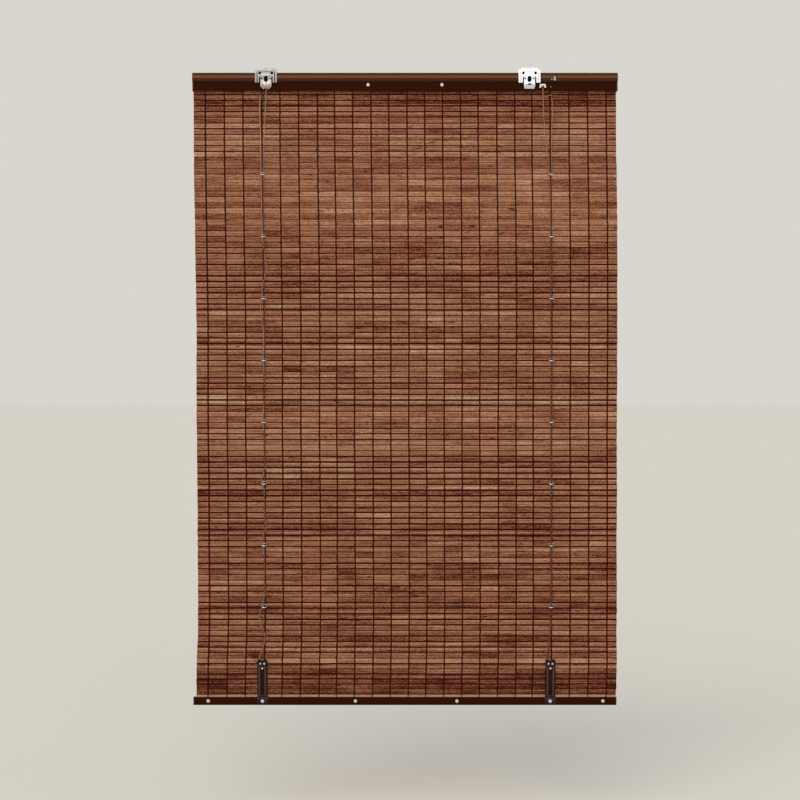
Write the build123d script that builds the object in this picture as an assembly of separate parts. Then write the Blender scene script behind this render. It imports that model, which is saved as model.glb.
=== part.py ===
from build123d import *
import math
import os

os.makedirs("parts", exist_ok=True)

# A cordless shade of woven reeds that gathers upwards on two lift cords, seen from its wall side.
# X runs along the rails, Y runs from the wall into the room, Z is up, and all lengths are in
# millimetres. The origin is where the wall plane meets the ceiling plane, above the middle of the
# rails. Angles are in degrees.

# Headrail, an aluminium extrusion
rail_length = 914.0
rail_drop = 9.0
rail_height = 38.5
rail_wall = 1.2
rail_front = 43.2
rail_edge_radius = 2.0
bulge_crest = 3.2
bulge_height = 21.5
web_back = 10.0
lip_back = 7.0
lip_height = 2.2
cavity_floor_height = 9.4
spline_room = 11.6
spline_mouth = 4.0
hook_mouth = 3.0
hook_mouth_inset = 2.2
hook_groove_depth = 3.2
cap_thickness = 2.0
cap_plug_length = 9.0
cap_plug_gap = 0.25
cap_plug_wall = 1.8

# Brackets, folded and pierced sheet steel
bracket_x = (-298.5, 267.2)
bracket_width = 47.0
sheet = 1.4
plate_height = 24.6
ear_width = 9.0
ear_length = 31.8
ear_gap = 2.6
screw_spacing = 26.0
screw_hole = 5.2
hole_sides = 16
wall_screw_drop = 11.0
ceiling_screw_back = 21.0
window_width = 8.0
window_top = 17.6
window_bottom = 29.6
crown_notch = 4.0
hook_width = 26.0
hook_clearance = 0.3

# Spring clips riveted behind the plates, gripping the rail's lip
clip_sheet = 1.0
clip_width = 23.8
clip_top = 14.4
clip_slot_width = 8.2
clip_foot_notch = 7.0
clip_tip_gap = 2.2
rivet_sides = 8
rivet_radius = 1.6
rivet_drop = 22.2
rivet_spacing = 18.4
rivet_head = 0.6

# Cord outlets, white nylon hoods on the rail's web
outlet_x = 295.8
outlet_width = 14.9
outlet_top_width = 12.4
outlet_top = 33.4
outlet_bottom = 41.8
outlet_proud = 5.4
throat_drop = 35.9
throat_bore = 1.3
throat_tube = 2.0
throat_reach = 6.0
arch_width = 6.4
arch_height = 4.4

# Reed mat, thin split reeds laid edge to edge
mat_width = 906.0
mat_shift = 1.5
slat_pitch = 11.9
slat_thickness = 1.8
groove_thickness = 0.8
groove_half = 0.9
gap_height = 0.7
gap_length = 33.0
string_count = 23
string_pitch = 39.2
strings_middle = 6.1
gap_step = 9
gap_every = 2
mat_top_y = 17.0
mat_top_z = -43.2
crease_z = -1274.0
crease_y = 14.5
spline_width = 10.0
spline_height = 4.4
spline_slot = 2.6

# Rings sewn to the mat, eight rows of two
ring_rows = 8
ring_first = 225.5
ring_pitch = 133.2
ring_outer = 7.2
ring_wire = 1.7
ring_sides = 12
ring_tilt = 26.0
ring_seat_gap = 0.3
column_x = (-304.4, 316.1)
drift_top = (-5.3, -2.6)
drift_depth = 450.0

# Cords
cord_radius = 0.6
cord_clear = 0.15
cord_sides = 6
lip_clear = 0.4
cord_bend = 3.0
knot_radius = 1.9
knot_length = 3.6
guard_offset = 2.4
guard_top = 60.0

# Bottom rail, a painted aluminium bar
bar_length = 914.0
bar_height = 17.2
bar_depth = 12.0
bar_top = -1354.5
bar_wall = 1.4
bar_slot = 2.6
bar_slot_depth = 6.0
bar_y = 25.0
bar_edge_radius = 1.2
bar_cap_thickness = 1.6
bar_screw_x = (-425.0, -107.0, 112.2, 427.6)
bar_screw_drop = 8.4
screw_head_radius = 3.7
screw_head_height = 1.7
screw_shank = 1.7
screw_length = 8.4
screw_sides = 12
shank_gap = 0.08

# Levelling cleats, one at the foot of each lift cord
cleat_x = (-307.6, 313.6)
cleat_width = 21.6
cleat_plate = 2.4
cleat_rib_width = 4.2
cleat_rib_height = 5.6
cleat_rib_middle = 6.4
cleat_rib_foot = 4.0
cleat_rib_length = 62.0
cleat_length = 80.0
cleat_foot_width = 24.4
cleat_foot_thickness = 2.4
cleat_mat_gap = 0.7
horn_radius = 3.2
horn_height = 7.0
horn_spacing = 14.8
horn_inset = 3.4
stud_radius = 1.7
stud_height = 7.6
stud_spacing = 8.6
stud_row = 8.4
low_stud_row = 18.6
wrap_depth = 4.4
cleat_shelf = 5.0
bar_across_height = 3.2
bar_across_up = (6.2, 11.4)

# Spring motor in the middle of the headrail
axle_z = -24.2
axle_pitch = 24.0
gear_teeth = 12
gear_root_radius = 10.3
gear_tip_radius = 13.2
root_share = 0.52
tip_share = 0.22
drum_sides = 16
gear_width = 4.0
post_radius = 3.0
running_gap = 0.08
face_gap = 0.4
core_radius = 8.6
flange_radius = 11.2
flange_width = 1.1
core_width = 15.4
spring_core = 6.0
spring_full = 10.3
spring_strip = 0.4
spring_inset = 0.6
spring_clear = 0.3
base_thickness = 1.6
base_gap = 0.3
base_height = 26.6
base_half_length = 52.0
tab_half_length = 84.0
tab_height = 9.0
motor_screw_x = 79.4
motor_screw_drop = 35.0
cover_thickness = 1.2
stand_width = 3.6
boss_height = 5.4
stand_x = 49.4

rail_top = -rail_drop
rail_bottom = rail_top - rail_height
lip_top = rail_bottom + lip_height
cavity_floor = rail_bottom + cavity_floor_height
spline_wall_y = web_back + rail_wall + spline_room
base_y = web_back + rail_wall + base_gap
gear_y = base_y + base_thickness + face_gap
core_y = gear_y + gear_width
flange_y = core_y + core_width
cover_y = flange_y + flange_width + face_gap
hook_y = rail_front - hook_mouth_inset - hook_mouth
bar_back = bar_y - bar_depth / 2
bar_bottom = bar_top - bar_height
lean_bottom_z = bar_top + 4.0
lean = math.degrees(math.atan2(bar_y - crease_y, crease_z - lean_bottom_z))


def save(shape, node):
    export_step(shape, "parts/" + node + ".step")
    return shape


def box_span(x, y, z):
    """A box from its lowest and highest X, Y and Z."""
    size = [high - low for low, high in (x, y, z)]
    middle = [(high + low) / 2 for low, high in (x, y, z)]
    return Pos(*middle) * Box(*size)


def along_x(section, low, high):
    """Extrudes a section drawn with Y and Z as its two axes from X low to X high."""
    return Pos(low, 0, 0) * extrude(Plane.YZ * section, amount=high - low)


def span(y, z):
    """A rectangle in the Y, Z section plane, from its lowest and highest values."""
    return Pos((y[0] + y[1]) / 2, (z[0] + z[1]) / 2) * Rectangle(y[1] - y[0], z[1] - z[0])


def prism_y(x, z, radius, low, high, sides):
    """A many-sided rod along Y."""
    return Pos(x, high, z) * extrude(Plane.XZ * RegularPolygon(radius, sides), amount=high - low)


def round_y(x, z, radius, low, high):
    """A round rod along Y, for screw holes, bores and axle posts."""
    return Pos(x, (low + high) / 2, z) * Rot(90, 0, 0) * Cylinder(radius, high - low)


# Headrail
def rail_outline():
    foot = rail_top - bulge_height
    bulge = ThreePointArc((web_back, rail_top), (bulge_crest, (rail_top + foot) / 2), (web_back, foot))
    rest = Polyline(
        (web_back, foot),
        (web_back, lip_top),
        (lip_back, lip_top),
        (lip_back, rail_bottom),
        (rail_front, rail_bottom),
        (rail_front, rail_top),
        (web_back, rail_top),
    )
    outline = make_face(bulge + rest)
    front = outline.vertices().filter_by(lambda v: v.X > rail_front - 0.1)
    return fillet(front, rail_edge_radius)


def rail_cavity():
    """The room for the spring motor and the cords, above the floor and behind the hook groove."""
    wall = rail_wall
    half = bulge_height / 2
    crest = web_back - bulge_crest
    radius = (half * half + crest * crest) / (2 * crest)
    bulge = Pos(bulge_crest + radius, rail_top - half) * Circle(radius - wall)
    room = span((web_back + wall, rail_front - wall), (cavity_floor, rail_top - wall))
    left = bulge & span((0, web_back + wall + 1), (rail_top - bulge_height, rail_top - wall))
    groove = span(
        (hook_y - rail_wall, rail_front),
        (rail_top - 2 * rail_wall - hook_groove_depth, rail_top),
    )
    return room + left - groove


def headrail():
    section = rail_outline() - rail_cavity()
    under = (rail_bottom + rail_wall, cavity_floor - rail_wall)
    section -= span((web_back + rail_wall, spline_wall_y), under)
    section -= span((spline_wall_y + rail_wall, rail_front - rail_wall), under)
    mouth = (mat_top_y - spline_mouth / 2, mat_top_y + spline_mouth / 2)
    section -= span(mouth, (rail_bottom - 1, under[0] + 0.1))
    section -= span((hook_y, hook_y + hook_mouth), (rail_top - rail_wall - 0.1, rail_top + 1))
    section -= span(
        (hook_y, rail_front - rail_wall),
        (rail_top - rail_wall - hook_groove_depth, rail_top - rail_wall),
    )
    half = rail_length / 2 - cap_thickness
    body = along_x(section, -half, half)
    for side in (-1, 1):
        body -= prism_y(side * outlet_x, -throat_drop, throat_tube + 0.1, 0, web_back + 5, screw_sides)
        body -= prism_y(side * motor_screw_x, -motor_screw_drop, screw_shank, 0, web_back + 5, rivet_sides)
    return body


def headrail_cap(side):
    end = side * rail_length / 2
    inner = end - side * cap_thickness
    plate = along_x(rail_outline(), min(inner, end), max(inner, end))
    near = web_back + rail_wall + cap_plug_gap
    top = rail_top - 2 * rail_wall - hook_groove_depth - cap_plug_gap
    room = ((near, rail_front - rail_wall - cap_plug_gap), (cavity_floor + cap_plug_gap, top))
    plug_face = span(*room) - span(*[(low + cap_plug_wall, high - cap_plug_wall) for low, high in room])
    deep = inner - side * cap_plug_length
    return plate + along_x(plug_face, min(inner, deep), max(inner, deep))


# Brackets
def bracket(x):
    half = bracket_width / 2
    plate = box_span((-half, half), (0, sheet), (-plate_height, 0))
    for side in (-1, 1):
        outer = side * half
        inner = outer - side * ear_width
        plate += box_span((min(outer, inner), max(outer, inner)), (0, sheet), (-ear_length, -plate_height))
        slot_end = inner - side * ear_gap
        slot = box_span(
            (min(inner, slot_end), max(inner, slot_end)), (-1, sheet + 1), (-ear_length, -window_top)
        )
        plate -= slot
    foot_corners = plate.edges().filter_by(Axis.Y).group_by(Axis.Z)[0]
    plate = chamfer(foot_corners, 1.2)
    hook_back = hook_y + hook_clearance
    flange = box_span((-half, half), (0, hook_back + sheet), (-sheet, 0))
    flange = chamfer(flange.edges().filter_by(Axis.Z).group_by(Axis.Y)[-1], 8.0)
    tongue_foot = rail_top - rail_wall - hook_clearance - sheet
    tongue = box_span(
        (-hook_width / 2, hook_width / 2), (hook_back, hook_back + sheet), (tongue_foot, -sheet)
    )
    toe = box_span(
        (-hook_width / 2, hook_width / 2),
        (hook_back, rail_front - rail_wall - hook_clearance),
        (tongue_foot, tongue_foot + sheet),
    )
    body = plate + flange + tongue + toe
    fold = body.edges().filter_by(Axis.X).filter_by(lambda e: abs(e.center().Y) < 0.01 and abs(e.center().Z) < 0.01)
    body = fillet(fold, sheet * 0.9)
    body -= Pos(0, sheet, -(window_top + window_bottom) / 2) * Box(
        window_width, 4 * sheet, window_bottom - window_top
    )
    body -= prism_y(0, 0, crown_notch / 2, -3 * sheet, 3 * sheet, screw_sides)
    for side in (-1, 1):
        middle = side * screw_spacing / 2
        body -= round_y(middle, -wall_screw_drop, screw_hole / 2, -2, sheet + 2)
        body -= Pos(middle, ceiling_screw_back, 0) * Cylinder(screw_hole / 2, 6 * sheet)
        body -= prism_y(side * rivet_spacing / 2, -rivet_drop, rivet_radius, -2, sheet + 2, rivet_sides)
    return Pos(x, 0, 0) * body


def bracket_clip(x):
    """A sprung strip behind the plate: down past it, in to the rail's web, its foot on the lip."""
    back = sheet
    tip = lip_top + clip_tip_gap
    knee = tip + 6.0
    low = tip + clip_sheet
    line = Polyline(
        (back + clip_sheet / 2, -clip_top),
        (back + clip_sheet / 2, knee),
        (back + clip_sheet / 2 + 2.0, low - clip_sheet / 2),
        (web_back - 0.8, low - clip_sheet / 2),
    )
    section = trace(line, clip_sheet)
    half = clip_width / 2
    strip = along_x(section, -half, half)
    slot_top = -window_top + 1.0
    strip -= box_span((-clip_slot_width / 2, clip_slot_width / 2), (0, 5), (-window_bottom, slot_top))
    strip -= Pos(0, web_back, 0) * box_span(
        (-clip_foot_notch / 2, clip_foot_notch / 2), (-5, 5), (tip - 3, knee)
    )
    for side in (-1, 1):
        corner = Pos(side * half, 0, knee - 1) * Rot(0, 45, 0) * Box(4.2, 12, 4.2)
        strip -= corner
        middle = side * rivet_spacing / 2
        strip -= prism_y(middle, -rivet_drop, rivet_radius, 0, back + clip_sheet + 1, rivet_sides)
        strip -= Pos(side * 6.8, back + clip_sheet / 2, -window_bottom - 5.6) * Box(4.6, 4, 1.6)
    return Pos(x, 0, 0) * strip


def bracket_rivets(x):
    group = []
    for side in (-1, 1):
        middle = x + side * rivet_spacing / 2
        shank = prism_y(middle, -rivet_drop, rivet_radius, 0, sheet + clip_sheet, rivet_sides)
        seat = sheet + clip_sheet
        head = prism_y(middle, -rivet_drop, rivet_radius * 1.6, seat, seat + rivet_head, rivet_sides)
        group.append(shank + head)
    return group


# Cord outlets
def cord_outlet(side):
    face = web_back - outlet_proud
    outline = Polyline(
        (-outlet_width / 2, -outlet_bottom),
        (-outlet_top_width / 2, -outlet_top),
        (outlet_top_width / 2, -outlet_top),
        (outlet_width / 2, -outlet_bottom),
        close=True,
    )
    hood_face = chamfer(make_face(outline).vertices().group_by(Axis.Y)[-1], 1.4)
    hood = Pos(0, web_back, 0) * extrude(Plane.XZ * hood_face, amount=outlet_proud)
    centre = -outlet_bottom + arch_height - arch_width / 2
    arch = box_span((-arch_width / 2, arch_width / 2), (face - 1, web_back - 0.8), (-outlet_bottom - 1, centre))
    arch += prism_y(0, centre, arch_width / 2, face - 1, web_back - 0.8, hole_sides)
    snout = prism_y(0, -throat_drop, throat_tube, web_back, web_back + throat_reach, screw_sides)
    body = hood - arch + snout
    body -= prism_y(0, -throat_drop, throat_bore, face + 0.6, web_back + throat_reach + 1, screw_sides)
    body -= box_span(
        (-throat_bore, throat_bore), (face + 0.6, web_back - 0.8), (-outlet_bottom, -throat_drop)
    )
    return Pos(side * outlet_x, 0, 0) * body


# Reed mat
def mat_line():
    """The mat's middle from the headrail to the bottom rail: back a little, out to the crease, in again."""
    points = [
        (mat_top_y, mat_top_z),
        (mat_top_y + 10.5, -600),
        (mat_top_y + 13.0, -1150),
        (mat_top_y + 15.5, -1226),
        (crease_y, crease_z),
        (bar_y, lean_bottom_z),
        (bar_y, bar_top - bar_slot_depth + 0.4),
    ]
    return FilletPolyline(*points, radius=[900, 260, 26, 9, 8])


def mat_y(z):
    """Y of the mat's middle at height z, read from its line."""
    cut = mat_line() & Line((0, z), (60, z))
    found = cut.vertices() if hasattr(cut, "vertices") else [Vertex(*v) for v in cut]
    return found[0].X


def mat_frames():
    """Middle points and directions at each reed's edges, in the section plane."""
    line = mat_line()
    count = round(line.length / slat_pitch)
    pitch = line.length / count
    edges = []
    for k in range(count + 1):
        edges.append((line @ (k / count), line % (k / count)))
    return edges, pitch


def reed_mat():
    edges, pitch = mat_frames()
    wall_side, room_side = [], []
    for (p, t), (q, u) in zip(edges, edges[1:]):
        normal = Vector(-t.Y, t.X)
        across = Vector(-u.Y, u.X)
        near = p + t * groove_half
        far = q - u * groove_half
        for side, path in ((1, wall_side), (-1, room_side)):
            path.append(p + normal * (side * groove_thickness / 2))
            path.append(near + normal * (side * slat_thickness / 2))
            path.append(far + across * (side * slat_thickness / 2))
    last, direction = edges[-1]
    normal = Vector(-direction.Y, direction.X)
    wall_side.append(last + normal * (groove_thickness / 2))
    room_side.append(last - normal * (groove_thickness / 2))
    section = make_face(Polyline(*wall_side, *reversed(room_side), close=True))
    half = mat_width / 2
    mat = along_x(section, mat_shift - half, mat_shift + half)
    cells = string_count - 1
    left = strings_middle - string_pitch * cells / 2
    gaps = []
    for k, (p, t) in enumerate(edges[2:-2:gap_every]):
        x = left + string_pitch * ((k * gap_step) % cells + 0.5)
        tilt = math.degrees(math.atan2(t.X, -t.Y))
        gaps.append(Pos(x, p.X, p.Y) * Rot(tilt, 0, 0) * Box(gap_length, 3 * slat_thickness, gap_height))
    return mat - gaps


def mat_spline():
    """The strip on the mat's top edge that slides along the headrail's channel."""
    low = rail_bottom + rail_wall
    section = span((mat_top_y - spline_width / 2, mat_top_y + spline_width / 2), (low, low + spline_height))
    slot = (mat_top_y - spline_slot / 2, mat_top_y + spline_slot / 2)
    section -= span(slot, (low - 1, mat_top_z + 0.3))
    half = mat_width / 2
    return along_x(section, mat_shift - half, mat_shift + half)


# Rings
def ring_column(side, z):
    """X of a column of rings at height z; the mat has slid sideways towards its top."""
    place = 0 if side < 0 else 1
    return column_x[place] + drift_top[place] * max(0.0, 1 + z / drift_depth)


def ring_height(row):
    return -(ring_first + ring_pitch * row)


def ring_middle(row):
    """Y of a ring row's middle, its rear edge ring_seat_gap off the reeds."""
    tilt = math.radians(ring_tilt)
    reach = ring_outer * math.cos(tilt) + ring_wire / 2 * math.sin(tilt)
    return mat_y(ring_height(row)) - slat_thickness / 2 - ring_seat_gap - reach


def ring_row(row):
    z = ring_height(row)
    y = ring_middle(row)
    face = RegularPolygon(ring_outer, ring_sides) - RegularPolygon(ring_outer - ring_wire, ring_sides)
    ring = extrude(face, amount=ring_wire / 2, both=True)
    return [Pos(ring_column(side, z), y, z) * Rot(ring_tilt, 0, 0) * ring for side in (-1, 1)]


# Cords
def tube(points, radii, radius):
    path = FilletPolyline(*points, radius=radii) if radii else Polyline(*points)
    start = Plane(origin=path @ 0, z_dir=path % 0)
    section = RegularPolygon(radius, cord_sides)
    solid = sweep(start * section, path=path)
    expected = section.area * path.length
    print("cord length", round(path.length, 1), "volume ratio", round(solid.volume / expected, 5))
    return solid


def bend_radii(points):
    """The largest arc that each corner's two runs allow: 0.45 of the shorter one."""
    points = [Vector(*p) for p in points]
    radii = []
    for before, corner, after in zip(points, points[1:], points[2:]):
        turn = math.radians((corner - before).get_angle(after - corner))
        shorter = min((corner - before).length, (after - corner).length)
        radii.append(0.45 * shorter / math.tan(turn / 2))
    return radii


def cord_run(side):
    """The lift cord inside the headrail, from its drum to the outlet's mouth."""
    y = core_y + core_width / 2
    low = axle_z - core_radius - cord_radius - cord_clear
    start = side * axle_pitch * 1.5
    front = lip_back - cord_radius - lip_clear
    points = [
        (start, y, low),
        (side * outlet_x, y, -throat_drop + 0.4),
        (side * outlet_x, front, -throat_drop),
        (side * outlet_x, front, mat_top_z - 0.2),
    ]
    print("cord run radii", [cord_bend * 2, cord_bend * 0.6])
    return tube(points, [cord_bend * 2, cord_bend * 0.6], cord_radius)


def drop_points(side, start, aside):
    """A cord's way down through its rings to the cleat, wandering a little from ring to ring."""
    wander = (-0.6, 0.7, -0.3, 0.8, -0.7, 0.5, -0.4, 0.6)
    points = [start]
    for row in range(ring_rows):
        z = ring_height(row)
        points.append((ring_column(side, z) + aside + wander[row], ring_middle(row), z))
    return points


def notch_point(side):
    """Where a cord enters the cleat between its horns."""
    return cleat_point(side, 0, cleat_length - 1.5, cleat_plate + 2.2)


def horn_point(side):
    """Where a cord meets the top of the cleat's left horn."""
    rise = cleat_length - horn_inset + horn_radius + cord_radius + 0.3
    return cleat_point(side, -horn_spacing / 2, rise, cleat_plate + 3.4)


def lift_cord(side):
    front = lip_back - cord_radius - lip_clear
    points = drop_points(side, (side * outlet_x, front, mat_top_z - 0.4), -side * guard_offset / 2)
    points.append(notch_point(side) if side < 0 else horn_point(side))
    radii = bend_radii(points)
    print("lift cord radii", [round(r) for r in radii])
    return tube(points, radii, cord_radius)


def guard_start(side):
    aside = ring_column(side, -guard_top) + side * guard_offset / 2
    return (aside, mat_top_y - slat_thickness / 2 - knot_radius - 0.3, -guard_top)


def guard_cord(side):
    points = drop_points(side, guard_start(side), side * guard_offset / 2)
    points.append(horn_point(side) if side < 0 else notch_point(side))
    radii = bend_radii(points)
    print("guard cord radii", [round(r) for r in radii])
    return tube(points, radii, cord_radius)


def guard_knot(side):
    """The knot that ties the guard cord to a warp string."""
    x, y, z = guard_start(side)
    knot = extrude(RegularPolygon(knot_radius, cord_sides), amount=knot_length)
    return Pos(x, y, z) * chamfer(knot.faces().sort_by(Axis.Z)[-1].edges(), knot_radius * 0.5)


# Bottom rail
def bar_outline():
    outline = span((bar_y - bar_depth / 2, bar_y + bar_depth / 2), (bar_bottom, bar_top))
    return fillet(outline.vertices(), bar_edge_radius)


def bar_hollow():
    inside = bar_top - bar_slot_depth - bar_wall
    return span((bar_back + bar_wall, bar_y + bar_depth / 2 - bar_wall), (bar_bottom + bar_wall, inside))


def bottom_rail():
    section = bar_outline() - bar_hollow()
    section -= span((bar_y - bar_slot / 2, bar_y + bar_slot / 2), (bar_top - bar_slot_depth, bar_top + 1))
    half = bar_length / 2 - bar_cap_thickness
    body = along_x(section, -half, half)
    for x in bar_screw_x + cleat_x:
        reach = bar_back + screw_length + 0.4
        body -= prism_y(x, bar_top - bar_screw_drop, screw_shank, bar_back - 1, reach, rivet_sides)
    return body


def bottom_cap(side):
    end = side * bar_length / 2
    inner = end - side * bar_cap_thickness
    deep = inner - side * cap_plug_length
    plug = offset(bar_hollow(), amount=-cap_plug_gap, kind=Kind.INTERSECTION)
    plate = along_x(bar_outline(), min(inner, end), max(inner, end))
    return plate + along_x(plug, min(inner, deep), max(inner, deep))


def pan_screw(x, z, seat, length):
    """A pan-headed screw along Y with its head's seat at Y seat, facing the wall."""
    head = prism_y(0, 0, screw_head_radius, -screw_head_height, 0, screw_sides)
    head = chamfer(head.faces().sort_by(Axis.Y)[0].edges(), screw_head_height * 0.6)
    shank = prism_y(0, 0, screw_shank - shank_gap, 0, length, rivet_sides)
    return Pos(x, seat, z) * (head + shank)


def bottom_screws():
    z = bar_top - bar_screw_drop
    group = [pan_screw(x, z, bar_back, screw_length) for x in bar_screw_x]
    seat = bar_back - cleat_foot_thickness
    return group + [pan_screw(x, z, seat, screw_length + cleat_foot_thickness) for x in cleat_x]


def motor_screws():
    length = rail_wall + base_gap + base_thickness + boss_height - 0.4
    return [pan_screw(side * motor_screw_x, -motor_screw_drop, web_back, length) for side in (-1, 1)]


# Levelling cleats
def cleat_frame(side):
    """X across the cleat, Y up along the mat's lean, Z towards the wall from the cleat's mat side."""
    x = cleat_x[0] if side < 0 else cleat_x[1]
    up = Vector(0, -math.sin(math.radians(lean)), math.cos(math.radians(lean)))
    out = Vector(0, -math.cos(math.radians(lean)), -math.sin(math.radians(lean)))
    base = Vector(x, bar_y, lean_bottom_z) + out * (slat_thickness / 2 + cleat_mat_gap)
    return Plane(origin=base, x_dir=(1, 0, 0), z_dir=out), up


def cleat_point(side, across, up, out):
    frame, _ = cleat_frame(side)
    direction = 1 if frame.y_dir.Z > 0 else -1
    p = frame.from_local_coords(Vector(across, direction * up, out))
    return (p.X, p.Y, p.Z)


def cleat_part(shape, side):
    """Places a shape drawn on the cleat's own axes."""
    frame, _ = cleat_frame(side)
    return frame.location * (shape if frame.y_dir.Z > 0 else Rot(0, 0, 180) * shape)


def horn(x):
    """One of the cleat's two horns."""
    place = Pos(x, cleat_length - horn_inset, cleat_plate)
    post = extrude(RegularPolygon(horn_radius, screw_sides), amount=horn_height)
    return place * chamfer(post.faces().sort_by(Axis.Z)[-1].edges(), 0.8)


def cleat_body(side):
    half = cleat_width / 2
    plate_face = Pos(0, cleat_length / 2) * Rectangle(cleat_width, cleat_length)
    plate_face = chamfer(plate_face.vertices().group_by(Axis.Y)[-1], 2.6)
    notch = Pos(0, cleat_length) * Rot(0, 0, 45) * Rectangle(6.4, 6.4)
    body = extrude(plate_face - notch, amount=cleat_plate)
    for x in (-cleat_rib_middle, cleat_rib_middle):
        rib = box_span(
            (x - cleat_rib_width / 2, x + cleat_rib_width / 2),
            (0, cleat_rib_foot + cleat_rib_length),
            (cleat_plate, cleat_plate + cleat_rib_height),
        )
        body += chamfer(rib.edges().filter_by(Axis.Y).group_by(Axis.Z)[-1], 0.9)
    for x in (-horn_spacing / 2, horn_spacing / 2):
        body += horn(x)
    reach = cleat_rib_middle
    for up in bar_across_up:
        body += box_span((-reach, reach), (up - 1.2, up + 1.2), (cleat_plate, cleat_plate + bar_across_height))
    for edge in (-half + 0.7, half - 0.7):
        body += box_span((edge - 0.7, edge + 0.7), (0, cleat_rib_length), (cleat_plate, cleat_plate + 1.6))
    body = cleat_part(body, side)
    x = cleat_x[0] if side < 0 else cleat_x[1]
    foot_half = cleat_foot_width / 2
    foot_back = bar_back - cleat_foot_thickness
    foot = box_span((-foot_half, foot_half), (foot_back, bar_back), (bar_bottom + 1.2, bar_top))
    foot = chamfer(foot.edges().filter_by(Axis.Y).group_by(Axis.Z)[0], 1.4)
    shelf = box_span((-half, half), (foot_back, bar_y - 3.6), (bar_top, bar_top + cleat_shelf))
    body += Pos(x, 0, 0) * (foot + shelf)
    return body - prism_y(x, bar_top - bar_screw_drop, screw_shank, 0, bar_back + 1, rivet_sides)


def cleat_studs(side):
    """Three steel studs that the cords are led between."""
    group = []
    for x, down in ((-stud_spacing / 2, stud_row), (stud_spacing / 2, stud_row), (0, low_stud_row)):
        pin = extrude(RegularPolygon(stud_radius, rivet_sides), amount=stud_height)
        pin = chamfer(pin.faces().sort_by(Axis.Z)[-1].edges(), stud_radius * 0.45)
        group.append(cleat_part(Pos(x, cleat_length - down, cleat_plate) * pin, side))
    return group


def cleat_cord(side):
    """The lift cord's end, led down the cleat's groove to its lower bars."""
    top = cleat_length - 3.0
    bottom = bar_across_up[1] + wrap_depth / 2
    out = cleat_plate + 2.2
    beside = stud_radius + cord_radius + 0.6
    points = [
        cleat_point(side, 0, top, out),
        cleat_point(side, beside, cleat_length - low_stud_row, out),
        cleat_point(side, 0.3, cleat_length - low_stud_row - 14, out - 0.8),
        cleat_point(side, -0.2, (bottom + cleat_length - low_stud_row) / 2 - 6, out - 0.9),
        cleat_point(side, 0.2, bottom + 0.2, out - 0.6),
    ]
    radii = bend_radii(points)
    print("cleat cord radii", [round(r) for r in radii])
    return tube(points, radii, cord_radius)


def cleat_wraps(side):
    """The turns of cord over the cleat's two bars, as one closed shape each."""
    group = []
    for up in bar_across_up:
        outer = box_span((-2.6, 2.6), (-wrap_depth / 2, wrap_depth / 2), (0.1, bar_across_height + 1.2))
        outer = chamfer(outer.edges().filter_by(Axis.X).group_by(Axis.Z)[-1], 0.8)
        inner = box_span((-3, 3), (-1.3, 1.3), (0, bar_across_height + 0.1))
        group.append(cleat_part(Pos(0, up, cleat_plate) * (outer - inner), side))
    return group


def cord_tail_points():
    """The loose end beside the left cleat, standing off the mat and up to its frayed tip."""
    return [
        cleat_point(-1, -cleat_width / 2 - 0.5, cleat_length - 8.0, cleat_plate - 0.6),
        cleat_point(-1, -cleat_width / 2 - 5.2, cleat_length - 4.0, cleat_plate - 0.2),
        cleat_point(-1, -cleat_width / 2 - 8.6, cleat_length + 4.6, cleat_plate + 0.4),
        cleat_point(-1, -cleat_width / 2 - 8.8, cleat_length + 13.0, cleat_plate + 0.6),
        cleat_point(-1, -cleat_width / 2 - 2.6, cleat_length + 21.5, cleat_plate + 0.2),
    ]


def cord_tail():
    points = cord_tail_points()
    radii = bend_radii(points)
    print("tail radii", [round(r, 1) for r in radii])
    return tube(points, radii, cord_radius)


# Spring motor
def gear_face(half_turn):
    """A spur gear with straight flanks, turned by half a tooth or not."""
    pitch_angle = 360 / gear_teeth
    start = pitch_angle / 2 if half_turn else 0
    corners = []
    for tooth in range(gear_teeth):
        centre = start + tooth * pitch_angle
        for radius, share in (
            (gear_root_radius, -root_share / 2),
            (gear_tip_radius, -tip_share / 2),
            (gear_tip_radius, tip_share / 2),
            (gear_root_radius, root_share / 2),
        ):
            angle = math.radians(centre + share * pitch_angle)
            corners.append((radius * math.cos(angle), radius * math.sin(angle)))
    return make_face(Polyline(*corners, close=True))


def disc_stack(x, gear_phase, stretches):
    """A turning piece on the axle post at X x: an optional gear, then (radius, low Y, high Y) stretches."""
    body = None
    if gear_phase is not None:
        body = Pos(x, core_y, axle_z) * extrude(Plane.XZ * gear_face(gear_phase), amount=gear_width)
    for radius, low, high in stretches:
        piece = prism_y(x, axle_z, radius, low, high, drum_sides)
        body = piece if body is None else body + piece
    return body - round_y(x, axle_z, post_radius + running_gap, gear_y - 1, cover_y + 1)


def axle_x(place):
    return (place - 1.5) * axle_pitch


def cord_drum(side):
    place = 0 if side < 0 else 3
    return disc_stack(
        axle_x(place),
        place % 2 == 1,
        [(core_radius, core_y, flange_y), (flange_radius, flange_y, flange_y + flange_width)],
    )


def output_drum():
    return disc_stack(
        axle_x(1), True, [(spring_core, core_y, flange_y), (flange_radius, flange_y, flange_y + flange_width)]
    )


def idler_gear():
    return disc_stack(axle_x(2), False, [])


def storage_drum():
    low = core_y + face_gap
    return disc_stack(
        axle_x(2),
        None,
        [
            (flange_radius, low, low + flange_width),
            (spring_core, low, flange_y),
            (flange_radius, flange_y, flange_y + flange_width),
        ],
    )


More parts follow.
